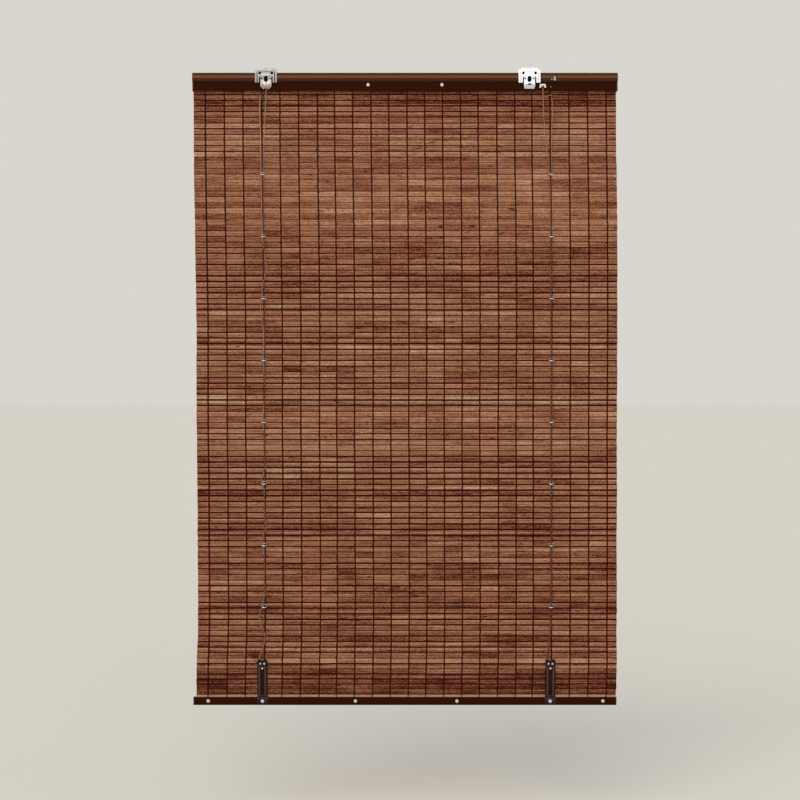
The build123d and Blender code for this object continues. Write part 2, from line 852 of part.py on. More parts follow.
def motor_spring():
    """The steel strip at rest: wound full on the output drum, crossing over to the storage drum."""
    inner = spring_core + spring_clear
    bare = inner + 3 * spring_strip
    left, right = axle_x(1), axle_x(2)
    hole = RegularPolygon(inner + 0.2, drum_sides)
    full = Pos(left, 0) * (RegularPolygon(spring_full, 2 * drum_sides) - hole)
    few = Pos(right, 0) * (RegularPolygon(bare + 0.2, 2 * drum_sides) - hole)
    reach = spring_full + bare - spring_strip
    tilt = math.degrees(math.asin(reach / axle_pitch))
    angle = math.radians(90 - tilt)
    top = (
        left + (spring_full - spring_strip / 2) * math.cos(angle),
        (spring_full - spring_strip / 2) * math.sin(angle),
    )
    low = (
        right - (bare - spring_strip / 2) * math.cos(angle),
        -(bare - spring_strip / 2) * math.sin(angle),
    )
    strip = trace(Line(top, low), spring_strip)
    section = full + few + strip
    wide = (core_y + face_gap + flange_width + spring_inset, flange_y - spring_inset)
    return Pos(0, wide[1], axle_z) * extrude(Plane.XZ * section, amount=wide[1] - wide[0])


def motor_base():
    low = axle_z - base_height / 2
    high = low + base_height
    front = base_y + base_thickness
    plate = box_span((-base_half_length, base_half_length), (base_y, front), (low, high))
    plate += box_span((-tab_half_length, tab_half_length), (base_y, front), (low, low + tab_height))
    for place in range(4):
        plate += round_y(axle_x(place), axle_z, post_radius, front, cover_y)
    for side in (-1, 1):
        x = side * stand_x
        plate += box_span(
            (x - stand_width / 2, x + stand_width / 2), (front, cover_y), (high - stand_width - 1, high - 1)
        )
        x = side * motor_screw_x
        plate += box_span((x - 3, x + 3), (front, front + boss_height), (low, low + 6))
        plate -= prism_y(x, -motor_screw_drop, screw_shank, 0, front + boss_height + 1, rivet_sides)
    return plate


def motor_cover():
    low = axle_z - base_height / 2
    return box_span(
        (-base_half_length, base_half_length), (cover_y, cover_y + cover_thickness), (low, low + base_height)
    )


save(headrail(), "headrail")
for side, name in ((-1, "left"), (1, "right")):
    place = 0 if side < 0 else 1
    save(headrail_cap(side), "headrail_cap_" + name)
    save(bracket(bracket_x[place]), "bracket_" + name)
    save(bracket_clip(bracket_x[place]), "bracket_clip_" + name)
    save(Compound(bracket_rivets(bracket_x[place])), "bracket_rivets_" + name)
    save(cord_outlet(side), "cord_outlet_" + name)
    save(cord_drum(side), "cord_drum_" + name)
    save(cord_run(side), "cord_run_" + name)
    save(lift_cord(side), "lift_cord_" + name)
    save(guard_cord(side), "guard_cord_" + name)
    save(guard_knot(side), "guard_knot_" + name)
    save(bottom_cap(side), "bottom_cap_" + name)
    save(cleat_body(side), "cleat_body_" + name)
    save(Compound(cleat_studs(side)), "cleat_studs_" + name)
    save(cleat_cord(side), "cleat_cord_" + name)
    save(Compound(cleat_wraps(side)), "cleat_wraps_" + name)
save(Compound(motor_screws()), "motor_screws")
save(motor_base(), "motor_base")
save(motor_cover(), "motor_cover")
save(output_drum(), "output_drum")
save(idler_gear(), "idler_gear")
save(storage_drum(), "storage_drum")
save(motor_spring(), "motor_spring")
save(reed_mat(), "reed_mat")
save(mat_spline(), "mat_spline")
for row in range(ring_rows):
    save(Compound(ring_row(row)), "ring_row_" + str(row + 1))
save(bottom_rail(), "bottom_rail")
save(Compound(bottom_screws()), "bottom_screws")
save(cord_tail(), "cord_tail")
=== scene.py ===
import bpy, bmesh, math, random
import numpy as np
from mathutils import Vector, Matrix


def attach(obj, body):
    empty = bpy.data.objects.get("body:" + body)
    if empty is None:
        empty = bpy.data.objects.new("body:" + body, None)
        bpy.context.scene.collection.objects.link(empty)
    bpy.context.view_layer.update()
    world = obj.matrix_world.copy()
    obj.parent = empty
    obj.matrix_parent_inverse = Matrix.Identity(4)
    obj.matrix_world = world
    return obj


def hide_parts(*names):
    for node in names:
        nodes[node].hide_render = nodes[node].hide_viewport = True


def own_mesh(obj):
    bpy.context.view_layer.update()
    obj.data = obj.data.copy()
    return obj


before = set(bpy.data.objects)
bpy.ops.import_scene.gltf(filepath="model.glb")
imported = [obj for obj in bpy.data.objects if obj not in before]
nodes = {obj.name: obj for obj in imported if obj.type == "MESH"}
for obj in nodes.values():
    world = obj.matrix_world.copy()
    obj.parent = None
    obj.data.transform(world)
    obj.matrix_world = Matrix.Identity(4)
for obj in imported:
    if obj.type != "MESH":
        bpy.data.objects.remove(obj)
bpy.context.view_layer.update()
mm = 0.001
millimetres = Matrix.Diagonal((mm, mm, mm, 1))
bothSides = ((-1, "left"), (1, "right"))


def toLinear(hexText):
    parts = [int(hexText[i:i + 2], 16) / 255 for i in (0, 2, 4)]
    return tuple(c / 12.92 if c <= 0.04045 else ((c + 0.055) / 1.055) ** 2.4 for c in parts) + (1.0,)


def addNode(tree, kind, settings=None, links=None):
    # settings are the node's properties, its sockets' values, or a ramp's stops: (place, hex colour or level)
    node = tree.nodes.new(kind)
    for key, value in (settings or {}).items():
        if key == "stops":
            marks = node.color_ramp.elements
            while len(marks) < len(value):
                marks.new(0.5)
            for mark, (place, colour) in zip(marks, value):
                mark.position = place
                mark.color = toLinear(colour) if isinstance(colour, str) else (colour, colour, colour, 1)
        elif isinstance(key, str) and hasattr(node, key):
            setattr(node, key, value)
        else:
            node.inputs[key].default_value = value
    for key, source in (links or {}).items():
        tree.links.new(source, node.inputs[key])
    return node


def startMaterial(name):
    material = bpy.data.materials.new(name)
    material.use_nodes = True
    tree = material.node_tree
    tree.nodes.clear()
    out = addNode(tree, "ShaderNodeOutputMaterial")
    shader = addNode(tree, "ShaderNodeBsdfPrincipled")
    tree.links.new(shader.outputs[0], out.inputs["Surface"])
    return material, tree, shader


def mottled(name, dark, light, roughLow, roughHigh, grainMm, bumpMm, metallic=0.0, stretch=(1, 1, 1), ior=None,
            level=0.5, tint=None):
    # two close colours and two close roughnesses, mixed by one noise of a real grain size
    material, tree, shader = startMaterial(name)
    place = addNode(tree, "ShaderNodeTexCoord")
    mapping = addNode(tree, "ShaderNodeMapping", {"Scale": stretch}, {"Vector": place.outputs["Object"]})
    grain = addNode(tree, "ShaderNodeTexNoise", {"Scale": 1 / (grainMm * mm), "Detail": 4.0, "Roughness": 0.55},
                    {"Vector": mapping.outputs[0]})
    colour = addNode(tree, "ShaderNodeValToRGB", {"stops": [(0.3, dark), (0.7, light)]},
                     {"Fac": grain.outputs["Fac"]})
    tree.links.new(colour.outputs[0], shader.inputs["Base Color"])
    rough = addNode(tree, "ShaderNodeMapRange", {"To Min": roughLow, "To Max": roughHigh},
                    {"Value": grain.outputs["Fac"]})
    tree.links.new(rough.outputs[0], shader.inputs["Roughness"])
    bump = addNode(tree, "ShaderNodeBump", {"Strength": 0.5, "Distance": bumpMm * mm},
                   {"Height": grain.outputs["Fac"]})
    tree.links.new(bump.outputs[0], shader.inputs["Normal"])
    shader.inputs["Metallic"].default_value = metallic
    shader.inputs["Specular IOR Level"].default_value = level
    if ior:
        shader.inputs["IOR"].default_value = ior
    if tint:
        shader.inputs["Specular Tint"].default_value = toLinear(tint)
    return material


# bronze lacquer on an aluminium extrusion: dark and satin with a warm sheen, a faint orange peel of about 1 mm
railPaint = mottled("bronzeLacquer", "270a03", "310f05", 0.40, 0.46, 1.2, 0.01, ior=1.5, level=1.0,
                    tint="ffb787")
# the same lacquer with almost no sheen, a shaded copy: painted shade on the web under the bulge, on the lip and
# on the bottom bar: dark and dull
shadedLacquer = mottled("thinBronzeLacquer", "280a02", "321006", 0.5, 0.6, 1.2, 0.01, ior=1.5, level=0.1,
                      tint="ffb787")
# moulded ABS end caps: the same brown, duller
capPlastic = mottled("mouldedAbsBrown", "34150a", "3f1b0e", 0.42, 0.52, 0.8, 0.01, ior=1.53, level=0.7,
                     tint="ffb787")
# bright nickel on pressed steel: nearly white, with rolling lines along the strip
nickelPlate = mottled("nickelPlatedSteel", "eeeeec", "fdfdfc", 0.2, 0.32, 0.9, 0.004, 0.3, (0.25, 1, 1))
# the same plate on the left bracket, greyer and darker, with cloudy patches
greyerNickel = mottled("agedNickelPlate", "6f6a66", "b9b4af", 0.24, 0.40, 1.6, 0.01, 0.7, (0.35, 1, 1))
# thin nickel on the left bracket's spring strip: greyer and a little warmer than the right one's
clipNickel = mottled("thinNickelOnSpringSteel", "a89f94", "dfd6ca", 0.22, 0.34, 0.9, 0.004, 0.5, (0.25, 1, 1))
# steel rivets drawn dark, with a dull metal shine
blackSteel = mottled("blackenedSteel", "2b2a2b", "3f3d3c", 0.35, 0.5, 0.5, 0.004, 1.0)
# painted shadow: a flat black behind the brackets, seen in their windows and holes
shadowPadBlack = mottled("mouldedRubberBlack", "060506", "0b0a0a", 0.7, 0.85, 0.8, 0.01, level=0.1)
# moulded nylon hoods and drums: white, slightly waxy
nylonWhite = mottled("mouldedNylon", "ded9cf", "ece8e0", 0.38, 0.48, 1.0, 0.006, ior=1.53)
# zinc-plated screws and studs: bright, small dull patches
zincSteel = mottled("zincPlatedSteel", "e6e2da", "fbf8f1", 0.14, 0.24, 0.7, 0.004, 0.45)
# nickelled wire rings: bright, drawn smooth
ringMetal = mottled("drawnNickelWire", "efede8", "fdfcf9", 0.08, 0.16, 0.5, 0.003, 0.85)
# moulded polystyrene cleats: dark brown and glossy
cleatPlastic = mottled("mouldedPolystyreneBrown", "220b05", "2b110a", 0.24, 0.34, 1.4, 0.008, ior=1.59,
                       level=0.2)
# a paler, duller copy of the same plastic on the cleats' ribs: a painted highlight
ribHighlightPlastic = mottled("rubbedPolystyreneBrown", "3a1d14", "5e382b", 0.35, 0.5, 2.2, 0.02, ior=1.59, level=0.35)
# moulded black nylon of the motor's frame: near black, even; the screws' cross recesses use it too, as painted
# shade
blackNylonAndRecessShade = mottled("mouldedNylonBlack", "101010", "191818", 0.45, 0.55, 0.8, 0.006, ior=1.53)
# rolled spring steel: grey, with fine lines along the strip
springSteel = mottled("rolledSpringSteel", "77797d", "8d8f92", 0.25, 0.35, 0.6, 0.003, 1.0, (0.2, 1, 1))
# extruded PVC strip on the mat's top edge: near black, drawn out along its length
splinePvc = mottled("extrudedPvc", "17110d", "1f1712", 0.45, 0.55, 0.7, 0.005, stretch=(0.2, 1, 1), level=0.3)
# dyed polyester sewing thread that holds the reeds: dark, dull, twisted
threadPolyester = mottled("twistedPolyesterThread", "320a05", "501a0f", 0.8, 0.95, 0.6, 0.1, level=0.02)


def braidedCord(name, dark, light, lowDark=None, lowLight=None):
    # braided polyester: slanting picks every 0.9 mm, dull; with low colours given, it is painted darker lower
    # down and paler near the rail: painted light
    material, tree, shader = startMaterial(name)
    place = addNode(tree, "ShaderNodeTexCoord")
    here = {"Vector": place.outputs["Object"]}
    picks = addNode(tree, "ShaderNodeTexWave", {
        "wave_type": "BANDS", "bands_direction": "DIAGONAL", "Scale": 0.32 / (0.9 * mm), "Distortion": 1.5,
        "Detail": 1.0}, here)
    wear = addNode(tree, "ShaderNodeTexNoise", {"Scale": 1 / (14 * mm), "Detail": 2.0}, here)
    mixed = addNode(tree, "ShaderNodeMath", {"operation": "MULTIPLY"},
                    {0: picks.outputs["Fac"], 1: wear.outputs["Fac"]})
    colour = addNode(tree, "ShaderNodeValToRGB", {"stops": [(0.05, dark), (0.45, light)]},
                     {"Fac": mixed.outputs[0]}).outputs[0]
    # painted light: from about 150 to 260 mm below the ceiling line the cord turns from its own colour to the
    # darker low colours
    if lowDark:
        paintedLightRamp = addNode(tree, "ShaderNodeValToRGB", {"stops": [(0.05, lowDark), (0.45, lowLight)]},
                         {"Fac": mixed.outputs[0]}).outputs[0]
        height = addNode(tree, "ShaderNodeSeparateXYZ", links={0: place.outputs["Object"]})
        share = addNode(tree, "ShaderNodeMapRange", {"From Min": -260 * mm, "From Max": -150 * mm},
                        {"Value": height.outputs["Z"]})
        both = addNode(tree, "ShaderNodeMix", {"data_type": "RGBA"},
                       {0: share.outputs[0], 6: paintedLightRamp, 7: colour})
        colour = both.outputs[2]
    tree.links.new(colour, shader.inputs["Base Color"])
    bump = addNode(tree, "ShaderNodeBump", {"Strength": 0.6, "Distance": 0.15 * mm},
                   {"Height": picks.outputs["Fac"]})
    tree.links.new(bump.outputs[0], shader.inputs["Normal"])
    shader.inputs["Roughness"].default_value = 0.8
    shader.inputs["Specular IOR Level"].default_value = 0.25
    return material


cordBraid = braidedCord("braidedPolyesterCord", "94695a", "c79f8b", "5a2b1d", "8a5440")
paleBraid = braidedCord("braidedPolyesterPale", "a07464", "d6b09c", "8e6150", "c69c87")
darkBraid = braidedCord("braidedPolyesterDark", "1c0804", "35140b")


def splitReed():
    # split and stained reed: long fibres along the slat, slow changes of stain, painted highlights on the
    # reeds' corners, painted shade in the grooves
    material, tree, shader = startMaterial("stainedSplitReed")
    point, flat, tone, edge, worn, across = (addNode(tree, "ShaderNodeAttribute", {"attribute_name": mark})
                                             for mark in ("grain", "flat", "tone", "edge", "worn", "across"))

    def streak(source, lengthMm, heightMm, detail, rough):
        scaled = addNode(tree, "ShaderNodeMapping", {"Scale": (1 / (lengthMm * mm), 1 / (heightMm * mm), 1.0)},
                         {"Vector": source.outputs["Vector"]})
        return addNode(tree, "ShaderNodeTexNoise", {"Scale": 1.0, "Detail": detail, "Roughness": rough},
                       {"Vector": scaled.outputs[0]}).outputs["Fac"]

    fibre = streak(point, 10, 1.5, 3.0, 0.65)       # bundles of fibres, about 1.5 mm apart
    strip = streak(point, 48, 4.2, 2.0, 0.5)        # darker and paler strips in a reed
    slow = streak(point, 210, 60, 1.0, 0.4)         # the stain's slow change along a reed
    speckle = streak(point, 4.4, 2.6, 2.0, 0.7)     # pores and small spots
    blot = streak(point, 22, 4.5, 1.0, 0.5)         # dark blots in the stain
    patch = streak(flat, 170, 60, 2.0, 0.5)         # where the whole mat took more or less stain
    total = tone.outputs["Fac"]
    for source, weight in ((fibre, 0.85), (strip, 0.4), (slow, 0.8), (speckle, 1.2), (patch, 0.55)):
        total = addNode(tree, "ShaderNodeMath", {"operation": "MULTIPLY_ADD", 1: weight},
                        {0: source, 2: total}).outputs[0]
    level = addNode(tree, "ShaderNodeMapRange", {"From Min": 1.30, "From Max": 2.40},
                    {"Value": total}).outputs[0]
    stained = addNode(tree, "ShaderNodeValToRGB", {"stops": [
        (0.0, "421208"), (0.22, "6b2c18"), (0.5, "8a4f35"), (0.78, "a76f52"), (1.0, "cb9f82")]}, {"Fac": level})
    # painted shade: a dark line beside each thread; then a painted highlight: a pale spot about 3 mm wide
    inCell = {"Fac": across.outputs["Fac"]}
    threadShade = addNode(tree, "ShaderNodeValToRGB", {"stops": [
        (0.0, 0.85), (0.035, 0.7), (0.055, 0.0), (0.945, 0.0), (0.965, 0.7), (1.0, 0.85)]}, inCell)
    paintedLightRamp = addNode(tree, "ShaderNodeValToRGB", {"stops": [
        (0.05, 0.0), (0.07, 1.0), (0.12, 0.0), (0.88, 0.0), (0.93, 1.0), (0.95, 0.0)]}, inCell)
    threadHighlight = addNode(tree, "ShaderNodeMath", {"operation": "MULTIPLY"}, {0: paintedLightRamp.outputs[0], 1: speckle})
    # painted highlight on the reeds' corners; the brighter of it and the spot beside the threads is used
    cornerHighlightHere = addNode(tree, "ShaderNodeMath", {"operation": "MULTIPLY"}, {0: worn.outputs["Fac"], 1: strip})
    paleShare = addNode(tree, "ShaderNodeMath", {"operation": "MAXIMUM"},
                        {0: cornerHighlightHere.outputs[0], 1: threadHighlight.outputs[0]})
    # where the stain is deep, little of the pale shows
    shown = addNode(tree, "ShaderNodeMapRange", {"From Min": 0.1, "From Max": 0.6, "To Min": 0.1},
                    {"Value": level})
    paleHere = addNode(tree, "ShaderNodeMath", {"operation": "MULTIPLY"},
                       {0: paleShare.outputs[0], 1: shown.outputs[0]})
    pale = addNode(tree, "ShaderNodeMix", {"data_type": "RGBA", 7: toLinear("d6a680")},
                   {0: paleHere.outputs[0], 6: stained.outputs[0]})
    # the darkest of the groove's painted shade, the painted shade beside the threads and the blots in the stain
    blotted = addNode(tree, "ShaderNodeValToRGB", {"stops": [(0.66, 0.0), (0.76, 0.75)]}, {"Fac": blot})
    darkest = addNode(tree, "ShaderNodeMath", {"operation": "MAXIMUM"},
                      {0: edge.outputs["Fac"], 1: threadShade.outputs[0]})
    darkShare = addNode(tree, "ShaderNodeMath", {"operation": "MAXIMUM"},
                        {0: darkest.outputs[0], 1: blotted.outputs[0]})
    dark = addNode(tree, "ShaderNodeMix", {"data_type": "RGBA", 7: toLinear("300602")},
                   {0: darkShare.outputs[0], 6: pale.outputs[2]})
    tree.links.new(dark.outputs[2], shader.inputs["Base Color"])
    bump = addNode(tree, "ShaderNodeBump", {"Strength": 0.5, "Distance": 0.14 * mm}, {"Height": fibre})
    tree.links.new(bump.outputs[0], shader.inputs["Normal"])
    rough = addNode(tree, "ShaderNodeMapRange", {"To Min": 0.55, "To Max": 0.78}, {"Value": fibre})
    tree.links.new(rough.outputs[0], shader.inputs["Roughness"])
    shader.inputs["Specular IOR Level"].default_value = 0.04
    return material


reedMaterial = splitReed()
print("materials ready")


def makePiece(name, verts, faces, material, body, slotName, smoothDeg=35, standsFor=()):
    mesh = bpy.data.meshes.new(name)
    mesh.from_pydata([tuple(v) for v in verts], [], faces)
    mesh.update()
    bm = bmesh.new()
    bm.from_mesh(mesh)
    bmesh.ops.recalc_face_normals(bm, faces=bm.faces)
    bm.to_mesh(mesh)
    bm.free()
    mesh.polygons.foreach_set("use_smooth", [True] * len(mesh.polygons))
    mesh.set_sharp_from_angle(angle=math.radians(smoothDeg))
    mesh.materials.append(material)
    piece = bpy.data.objects.new(name, mesh)
    bpy.context.scene.collection.objects.link(piece)
    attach(piece, body)
    if standsFor:
        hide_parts(*standsFor)
    return piece


def joined(parts):
    verts, faces = [], []
    for v, f in parts:
        start = len(verts)
        verts += list(v)
        faces += [[i + start for i in face] for face in f]
    return verts, faces


def moved(part, matrix):
    verts, faces = part
    return [matrix @ Vector(v) for v in verts], faces


def turned(degrees, axis):
    return Matrix.Rotation(math.radians(degrees), 4, axis)


def oval(x, y, wide, high, steps=24):
    angles = [2 * math.pi * i / steps for i in range(steps)]
    return [(x + wide * math.cos(a), y + high * math.sin(a)) for a in angles]


def softBox(x, y, z, edge, segments=2):
    bm = bmesh.new()
    bmesh.ops.create_cube(bm, size=1.0)
    size = Vector((x[1] - x[0], y[1] - y[0], z[1] - z[0]))
    centre = Vector(((x[0] + x[1]) / 2, (y[0] + y[1]) / 2, (z[0] + z[1]) / 2))
    for v in bm.verts:
        v.co = Vector((v.co.x * size.x, v.co.y * size.y, v.co.z * size.z)) + centre
    if edge:
        bmesh.ops.bevel(bm, geom=bm.edges[:], offset=edge, segments=segments, affect="EDGES", profile=0.5)
    part = [v.co.copy() for v in bm.verts], [[v.index for v in f.verts] for f in bm.faces]
    bm.free()
    return part


def prismX(outline, low, high):
    # outline is a list of (y, z)
    n = len(outline)
    verts = [(low, y, z) for y, z in outline] + [(high, y, z) for y, z in outline]
    faces = [[i, (i + 1) % n, n + (i + 1) % n, n + i] for i in range(n)]
    return verts, faces + [list(range(n))[::-1], list(range(n, 2 * n))]


def lathe(profile, sides=24):
    # profile is a list of (radius, height) from the axis at the bottom to the axis at the top
    verts, rings, faces = [], [], []
    for radius, height in profile:
        if radius < 1e-7:
            rings.append([len(verts)])
            verts.append((0, 0, height))
        else:
            rings.append([len(verts) + i for i in range(sides)])
            verts += [(x, y, height) for x, y in oval(0, 0, radius, radius, sides)]
    for low, high in zip(rings, rings[1:]):
        for i in range(sides):
            j = (i + 1) % sides
            if len(low) == 1:
                faces.append([low[0], high[j], high[i]])
            elif len(high) == 1:
                faces.append([low[i], low[j], high[0]])
            else:
                faces.append([low[i], low[j], high[j], high[i]])
    return verts, faces


def tubeAlong(points, radii, sides=6, closed=False):
    # a tube with a frame carried along the points; radii is one value or one for each point
    points = [Vector(p) for p in points]
    n = len(points)
    if not hasattr(radii, "__len__"):
        radii = [radii] * n
    verts, faces = [], []
    side = None
    for i, p in enumerate(points):
        if closed:
            along = (points[(i + 1) % n] - points[i - 1]).normalized()
        else:
            along = (points[min(i + 1, n - 1)] - points[max(i - 1, 0)]).normalized()
        if side is None:
            side = along.orthogonal().normalized()
        side = (side - along * side.dot(along)).normalized()
        other = along.cross(side)
        for k in range(sides):
            angle = 2 * math.pi * k / sides
            verts.append(p + (side * math.cos(angle) + other * math.sin(angle)) * radii[i])
    count = n if closed else n - 1
    for i in range(count):
        a, b = i * sides, ((i + 1) % n) * sides
        for k in range(sides):
            m = (k + 1) % sides
            faces.append([a + k, a + m, b + m, b + k])
    if not closed:
        faces.append(list(range(sides))[::-1])
        faces.append([(n - 1) * sides + k for k in range(sides)])
    return verts, faces


matFacts = {
    "pitch": 12.1 * mm, "thick": 1.8 * mm, "neck": 0.5 * mm, "gap": 1.3 * mm,
    # its line from the rail to the bar, as (y, z) corners and their bend radii; it leans back below the crease
    "corners": [(17.0, -43.2), (27.5, -600), (30.0, -1150), (32.5, -1226), (14.5, -1274), (25.0, -1350.5),
                (25.0, -1360.1)],
    "bends": [900, 260, 26, 9, 8], "crease": -1274 * mm, "half": 453.2,
    # the mat's middle and half width at some heights, in mm: it hangs a little askew
    "heights": [-1360, -1340, -1262, -1148, -1018, -910, -780, -672, -538, -417, -296, -175, -54],
    "middles": [2.4, 2.8, 4.4, 5.5, 4.8, 5.0, 3.8, 4.2, 4.3, 3.2, 1.9, 0.2, -0.4],
    "halves": [453.6, 453.7, 453.3, 453.0, 453.2, 453.4, 453.9, 454.2, 454.4, 455.0, 455.2, 454.8, 454.2],
    # the warp threads' places, in mm from the mat's middle
    "threads": [-428.0, -387.3, -347.5, -307.3, -268.4, -228.4, -187.9, -150.9, -112.5, -72.9, -34.4, 4.3,
                42.2, 80.7, 119.2, 157.4, 197.2, 235.7, 272.3, 311.9, 352.1, 392.1, 432.1],
    # the ring columns drift with it, less and less down to driftDepth
    "driftTop": (-5.3 * mm, -2.6 * mm), "driftDepth": 450 * mm,
    # how far each row lies below its even place, in mm, by row from the top
    "rowMarks": [0, 36, 102, 108], "rowShift": [0.0, 2.0, 5.8, 0.4],
    # how wide the grooves are, by row: the reeds lie closer some way down
    "gapRows": [0, 9, 12, 24, 27, 32], "gapShare": [1.0, 0.95, 0.6, 0.5, 0.85, 1.15],
    # how much paler, or darker below zero, each row is painted, by row: painted shadow under the rail in the
    # top rows, slow changes of light further down; the last rows are counted from the crease, with a painted
    # highlight on the row above it and on the last row and painted shade on the rows between
    "stainRows": [0, 3, 8, 30, 62, 96], "stain": [-0.22, -0.12, -0.01, 0.05, 0.0, -0.03],
    "creaseRows": [-3, -2, -1, 0, 1, 3, 5, 6],
    "creaseStain": [0.0, -0.04, 0.4, -0.14, -0.18, -0.22, -0.28, 0.5],
}


def roundedLine(corners, bends):
    points = [Vector((c[0] * mm, c[1] * mm)) for c in corners]
    line = [points[0]]
    for before, corner, after, bend in zip(points, points[1:], points[2:], bends):
        a, b = (before - corner).normalized(), (after - corner).normalized()
        half = a.angle(b) / 2
        reach = bend * mm / math.tan(half)
        centre = corner + (a + b).normalized() * (bend * mm / math.sin(half))
        start, end = corner + a * reach, corner + b * reach
        for step in range(9):
            t = step / 8
            chord = start.lerp(end, t) - centre
            line.append(centre + chord.normalized() * bend * mm)
    line.append(points[-1])
    return np.array([tuple(p) for p in line])


matPath = roundedLine(matFacts["corners"], matFacts["bends"])
matRun = np.concatenate([[0], np.cumsum(np.linalg.norm(np.diff(matPath, axis=0), axis=1))])
slatCount = round(matRun[-1] / matFacts["pitch"])
slatPitch = matRun[-1] / slatCount


def matAt(s):
    # point (y, z) on the mat's middle, and the wall-side normal
    s = min(max(s, 0.0), matRun[-1])
    y, z = np.interp(s, matRun, matPath[:, 0]), np.interp(s, matRun, matPath[:, 1])
    lo, hi = max(s - 0.003, 0), min(s + 0.003, matRun[-1])
    dy = np.interp(hi, matRun, matPath[:, 0]) - np.interp(lo, matRun, matPath[:, 0])
    dz = np.interp(hi, matRun, matPath[:, 1]) - np.interp(lo, matRun, matPath[:, 1])
    length = math.hypot(dy, dz)
    dy, dz = dy / length, dz / length
    return (y, z), (dz, -dy)


def matYAt(z):
    return float(np.interp(-z, -matPath[:, 1], matPath[:, 0]))


def acrossAt(u, z):
    # X of the point u mm from the mat's middle, at height z
    f = matFacts
    middle = np.interp(z / mm, f["heights"], f["middles"])
    half = np.interp(z / mm, f["heights"], f["halves"])
    return (middle + u * half / f["half"]) * mm


def columnAt(side, z):
    place = 0 if side < 0 else 1
    drift = matFacts["driftTop"][place] * max(0.0, 1 + z / matFacts["driftDepth"])
    return ringFacts["columns"][place] * mm + drift


creaseRun = float(np.interp(-matFacts["crease"], -matPath[:, 1], matRun))
creaseSlat = round(creaseRun / slatPitch)


def rowRun(k):
    # the rows are a little taller near the top, and the last one is cut short
    return min(k * slatPitch + float(np.interp(k, matFacts["rowMarks"], matFacts["rowShift"])) * mm, matRun[-1])


def gather(piece):
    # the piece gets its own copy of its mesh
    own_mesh(piece)


def slatSection(gapLow, gapHigh, cuts, crown, half, neck):
    # one pick of reeds: (run, rise, painted groove shade, painted corner highlight) round the section
    low, high = gapLow, slatPitch - gapHigh
    front = [(0.0, neck, 1.0, 0.0), (low - 0.1 * mm, neck, 1.0, 0.0)]
    stops = [low] + [c * slatPitch for c in cuts] + [high]
    for i, (a, b) in enumerate(zip(stops, stops[1:])):
        start = 0.14 * mm if i == 0 else 0.42 * mm
        end = 0.14 * mm if i == len(stops) - 2 else 0.42 * mm
        front += [(a + start, half * 0.84, 0.35, 0.5), (a + start + 0.5 * mm, half, 0.0, 1.0),
                  ((a + b) / 2, half + crown, 0.0, 0.0),
                  (b - end - 0.5 * mm, half, 0.0, 0.7), (b - end, half * 0.84, 0.35, 0.3)]
        if i < len(stops) - 2:
            front.append((b, half - 0.5 * mm, 0.6, 0.0))
    front += [(high + 0.1 * mm, neck, 1.0, 0.0), (slatPitch, neck, 1.0, 0.0)]
    back = [(slatPitch, -neck, 1.0, 0.0), (high + 0.1 * mm, -neck, 1.0, 0.0),
            (high - 0.3 * mm, -half, 0.2, 0.0), (slatPitch / 2, -half - crown, 0.0, 0.0),
            (low + 0.3 * mm, -half, 0.2, 0.0),
            (low - 0.1 * mm, -neck, 1.0, 0.0), (0.0, -neck, 1.0, 0.0)]
    return front + back


